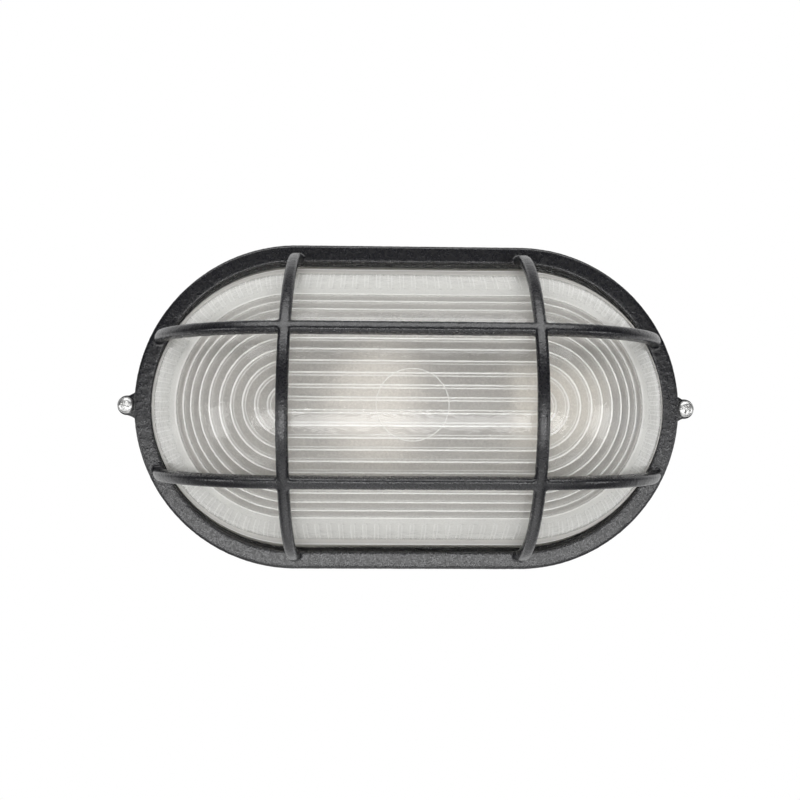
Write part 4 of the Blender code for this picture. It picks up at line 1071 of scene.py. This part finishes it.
def make_glass():
    around = cells()
    bm = bmesh.new()
    ribs = plain_rings(bm, rib_rows(), around)
    flutes = flute_rings(bm, around)
    joining_band(bm, ribs[-1], flutes[0], True, RIM_KIND)
    for number, (ring, following) in enumerate(zip(flutes, flutes[1:])):
        flute_band(bm, ring, following, number in FLUTE_CLOSING_BANDS)
    outside = plain_rings(bm, outside_rows(), around)
    # The band from the flutes to the outside takes the pale glass: painted light round the rim
    joining_band(bm, outside[0], flutes[-1], False, PAINTED_LIGHT_KIND)
    crown_band(bm, ribs[0], GLASS_INNER_RADIUS, FROSTED_KIND)
    crown_band(bm, outside[-1], GLASS_RADIUS, CLEAR_KIND)
    glass = finish_mesh("diffuser_dome", bm, [CLEAR, FROSTED, PAINTED_LIGHT_GLASS, FROSTED_RIM], GLASS_SMOOTH_BELOW)
    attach(glass, "root")
    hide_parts("diffuser_glass")


def make_mark():
    """Fine ring moulded on the middle of the dome."""
    curve = bpy.data.curves.new("diffuser_ring_mark", "CURVE")
    curve.dimensions = "3D"
    curve.bevel_depth = MARK_THICKNESS
    curve.bevel_resolution = 2
    curve.materials.append(FROSTED_RIM)
    spline = curve.splines.new("POLY")
    spline.points.add(MARK_STEPS - 1)
    spline.use_cyclic_u = True
    for index, point in enumerate(spline.points):
        turn = 2 * math.pi * index / MARK_STEPS
        up = MARK_UP + MARK_RADIUS * math.sin(turn)
        depth = DOME_CENTRE + math.sqrt((GLASS_RADIUS - MARK_SINK) ** 2 - up**2)
        point.co = (*at(MARK_RADIUS * math.cos(turn), up, depth), 1.0)
    mark = bpy.data.objects.new("diffuser_ring_mark", curve)
    bpy.context.scene.collection.objects.link(mark)
    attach(mark, "root")


# Cover screws


def screw_profile():
    head = [(radius * SCREW_HEAD_RADIUS, height * SCREW_HEAD) for radius, height in PAN_HEAD]
    return [
        (0.0, -SCREW_LENGTH),
        (SCREW_SHANK_RADIUS, SCREW_POINT - SCREW_LENGTH),
        (SCREW_SHANK_RADIUS, 0.0),
        (SCREW_HEAD_RADIUS - SCREW_HEAD_EDGE, 0.0),
        (SCREW_HEAD_RADIUS, SCREW_HEAD_EDGE),
        *head,
    ]


def cross_slot(place, degrees):
    """Box for one slot of the cross recess."""
    bm = bmesh.new()
    bmesh.ops.create_cube(bm, size=1.0)
    bmesh.ops.scale(bm, vec=CROSS_SIZE, verts=bm.verts)
    bmesh.ops.rotate(bm, verts=bm.verts, matrix=Matrix.Rotation(math.radians(degrees), 3, "Y"))
    bmesh.ops.translate(bm, verts=bm.verts, vec=place)
    return bm


def make_cover_screws():
    for side, word in ((-1, "left"), (1, "right")):
        seat = at(side * LUG_X, 0.0, SCREW_SEAT)
        bm = bmesh.new()
        lathe(bm, screw_profile(), seat, OUTWARDS)
        screw = finish_mesh(f"cover_screw_{word}_head", bm, [ZINC])
        top = seat + OUTWARDS * SCREW_HEAD
        slots = []
        for number, degrees in enumerate(CROSS_DEGREES):
            slots.append(helper(screw, f"slot_{word}_{number}", cross_slot(top, degrees), "DIFFERENCE"))
        bake(screw)
        smooth(screw, SCREW_SMOOTH_BELOW)
        remove(slots)
        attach(screw, "root")
        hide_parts(f"cover_screw_{word}")


# Cable-entry grommet, gasket and bulb


def grommet_profile():
    bore, flange, edge = GROMMET_BORE_RADIUS, GROMMET_FLANGE_RADIUS, GROMMET_EDGE
    return [
        (0.0, GROMMET_MEMBRANE),
        (bore - edge, GROMMET_MEMBRANE),
        (bore, GROMMET_MEMBRANE - edge),
        (bore, GROMMET_BACK + edge),
        (bore + edge, GROMMET_BACK),
        (flange - GROMMET_FLANGE_EDGE, GROMMET_BACK),
        (flange, GROMMET_BACK + GROMMET_FLANGE_EDGE),
        (flange, GROMMET_GROOVE_BACK),
        (GROMMET_GROOVE_RADIUS, GROMMET_GROOVE_BACK),
        (GROMMET_GROOVE_RADIUS, GROMMET_GROOVE_FRONT),
        (flange, GROMMET_GROOVE_FRONT),
        (flange + GROMMET_GROOVE_FRONT - GROMMET_FRONT, GROMMET_FRONT),
        (0.0, GROMMET_FRONT),
    ]


def bulb_profile():
    globe = arc((0.0, BULB_GLOBE_CENTRE), BULB_GLOBE_RADIUS, BULB_GLOBE_START_DEGREES, 90, BULB_GLOBE_STEPS)
    return [
        (0.0, 0.0),
        (BULB_CONTACT_RADIUS, 0.0),
        BULB_INSULATOR,
        (BULB_CAP_RADIUS, BULB_CAP_START),
        (BULB_CAP_RADIUS, BULB_CAP_LENGTH),
        *((radius * MM, height * MM) for radius, height in BULB_NECK),
        *globe[:-1],
        (0.0, BULB_GLOBE_CENTRE + BULB_GLOBE_RADIUS),
    ]


def smooth_round(name, node_name, profile, place, axis, material):
    """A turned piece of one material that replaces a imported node."""
    bm = bmesh.new()
    lathe(bm, profile, place, axis)
    obj = finish_mesh(name, bm, [material])
    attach(obj, "root")
    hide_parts(node_name)


def make_gasket():
    """Rubber channel that grips the flange of the glass."""
    bm = bmesh.new()
    section = [
        (OPENING_RADIUS, GASKET_BACK),
        (GASKET_OUTER_RADIUS, GASKET_BACK),
        (GASKET_OUTER_RADIUS, GASKET_FRONT),
        (OPENING_RADIUS + GASKET_CHAMFER, GASKET_FRONT),
        (OPENING_RADIUS, GASKET_FRONT - GASKET_CHAMFER),
        (OPENING_RADIUS, GASKET_FRONT - GASKET_LIP),
        (GASKET_GROOVE_RADIUS, GASKET_FRONT - GASKET_LIP),
        (GASKET_GROOVE_RADIUS, GASKET_BACK + GASKET_LIP),
        (OPENING_RADIUS, GASKET_BACK + GASKET_LIP),
    ]
    stadium(bm, section, END_STEPS)
    gasket = finish_mesh("gasket_smooth", bm, [RUBBER])
    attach(gasket, "root")
    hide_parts("glass_gasket")


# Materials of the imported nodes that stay


def dress_nodes():
    by_slot = {
        "porcelain": porcelain_material(),
        "brass": brass_material(),
        "reflector_sheet": sheet_material(),
        "nylon": nylon_material(),
        "brown_sleeve": sleeve("brown_sleeve", (0.16, 0.07, 0.03), (0.13, 0.055, 0.022), (0.19, 0.085, 0.04)),
        "blue_sleeve": sleeve("blue_sleeve", (0.03, 0.10, 0.35), (0.022, 0.08, 0.29), (0.04, 0.12, 0.40)),
        "zinc": ZINC,
        "rubber": RUBBER,
        "black_coat": COAT,
        "opal_glass": OPAL,
        "diffuser": FROSTED,
    }
    for subpart in frame["record"]["subparts"]:
        mesh = frame["nodes"][subpart["node"]].data
        mesh.materials.clear()
        mesh.materials.append(by_slot[subpart["material_slot"]])


# Floor, light and camera


def floor_material():
    """White floor: the camera sees a soft shadow near the lamp and white beyond it; gloss sees it
    dim in front and white behind."""
    material = shader("studio_floor", (0.9, 0.9, 0.9), 0.9)
    tint(material, noise(material, 8.0), (0.895, 0.895, 0.895), (0.905, 0.905, 0.905))
    path = node(material, "LightPath")
    place = node(material, "TexCoord")
    length = node(material, "VectorMath", operation="LENGTH")
    link(material, place.outputs["Object"], length.inputs[0])
    far = spread(material, length.outputs["Value"], *SHADOW_FADE, 0.0, 1.0)
    strength = node(material, "Mix", data_type="FLOAT")
    link(material, path.outputs["Is Glossy Ray"], strength.inputs[0])
    strength.inputs[2].default_value = 1.0
    link(material, spread(material, coordinate(material, "Y"), *FLOOR_FOR_GLOSS), strength.inputs[3])
    white = node(material, "Emission")
    link(material, strength.outputs[0], white.inputs["Strength"])
    lift = node(material, "Emission")
    lift.inputs["Strength"].default_value = SHADOW_LIFT
    nodes = material.node_tree.nodes
    plain = nodes["Principled BSDF"].outputs[0]
    near = node(material, "AddShader")
    link(material, plain, near.inputs[0])
    link(material, lift.outputs[0], near.inputs[1])
    seen = mix_shaders(material, far, near.outputs[0], white.outputs[0])
    mixed = mix_shaders(material, background_rays(material, path), plain, seen)
    link(material, mixed, nodes["Material Output"].inputs["Surface"])
    return material


def make_floor():
    half = FLOOR_HALF
    mesh = bpy.data.meshes.new("floor")
    corners = [(-half, -half, 0.0), (half, -half, 0.0), (half, half, 0.0), (-half, half, 0.0)]
    mesh.from_pydata(corners, [], [(0, 1, 2, 3)])
    mesh.materials.append(floor_material())
    floor = bpy.data.objects.new("floor", mesh)
    floor.location = (0.0, FLOOR_Y, FLOOR_LEVEL)
    bpy.context.scene.collection.objects.link(floor)


def make_lights():
    for name, (place, size, watts) in LIGHTS.items():
        light = bpy.data.lights.new(name, "AREA")
        light.shape = "RECTANGLE"
        light.size, light.size_y = size
        light.energy = watts
        obj = bpy.data.objects.new(name, light)
        bpy.context.scene.collection.objects.link(obj)
        obj.location = place
        obj.rotation_euler = (Vector(LAMP_MIDDLE) - Vector(place)).to_track_quat("-Z", "Y").to_euler()


def make_world():
    """White to the camera; in gloss and glass it is white behind and beside the lamp, dim in front."""
    world = bpy.data.worlds.new("studio")
    world.use_nodes = True
    bpy.context.scene.world = world
    world.node_tree.nodes.clear()
    path = node(world, "LightPath")
    direction = coordinate(world, "Y", "Generated")
    skies = []
    for values in (WORLD_FOR_LIGHT, WORLD_FOR_GLOSS, WORLD_FOR_CAMERA):
        sky = node(world, "Background")
        sky.inputs["Color"].default_value = (1.0, 1.0, 1.0, 1.0)
        link(world, spread(world, direction, *values), sky.inputs["Strength"])
        skies.append(sky.outputs[0])
    gloss = mix_shaders(world, background_rays(world, path), skies[0], skies[1])
    shown = mix_shaders(world, path.outputs["Is Camera Ray"], gloss, skies[2])
    output = node(world, "OutputWorld")
    link(world, shown, output.inputs["Surface"])


def make_camera():
    camera = bpy.data.cameras.new("camera")
    camera.sensor_width = 36.0
    camera.lens = FOCAL_PIXELS / IMAGE_PIXELS * camera.sensor_width
    camera.clip_start = 0.01
    view = bpy.data.objects.new("camera", camera)
    bpy.context.scene.collection.objects.link(view)
    matrix = Matrix.Translation(CAMERA_PLACE)
    for angle, axis in ((CAMERA_YAW, "Z"), (CAMERA_PITCH, "X"), (CAMERA_ROLL, "Y"), (math.pi / 2, "X")):
        matrix = matrix @ Matrix.Rotation(angle, 4, axis)
    view.matrix_world = matrix
    bpy.context.scene.camera = view
    bpy.context.scene.view_settings.view_transform = "Standard"


make_cover()
make_base()
make_glass()
make_mark()
make_cover_screws()
smooth_round(
    "entry_grommet_smooth",
    "entry_grommet",
    grommet_profile(),
    at(ENTRY_X, 0.0, 0.0),
    OUTWARDS,
    RUBBER,
)
smooth_round(
    "bulb_smooth",
    "bulb",
    bulb_profile(),
    at(BULB_BASE_X, 0.0, BULB_AXIS_DEPTH),
    (-1, 0, 0),
    OPAL,
)
make_gasket()
dress_nodes()
make_floor()
make_lights()
make_world()
make_camera()
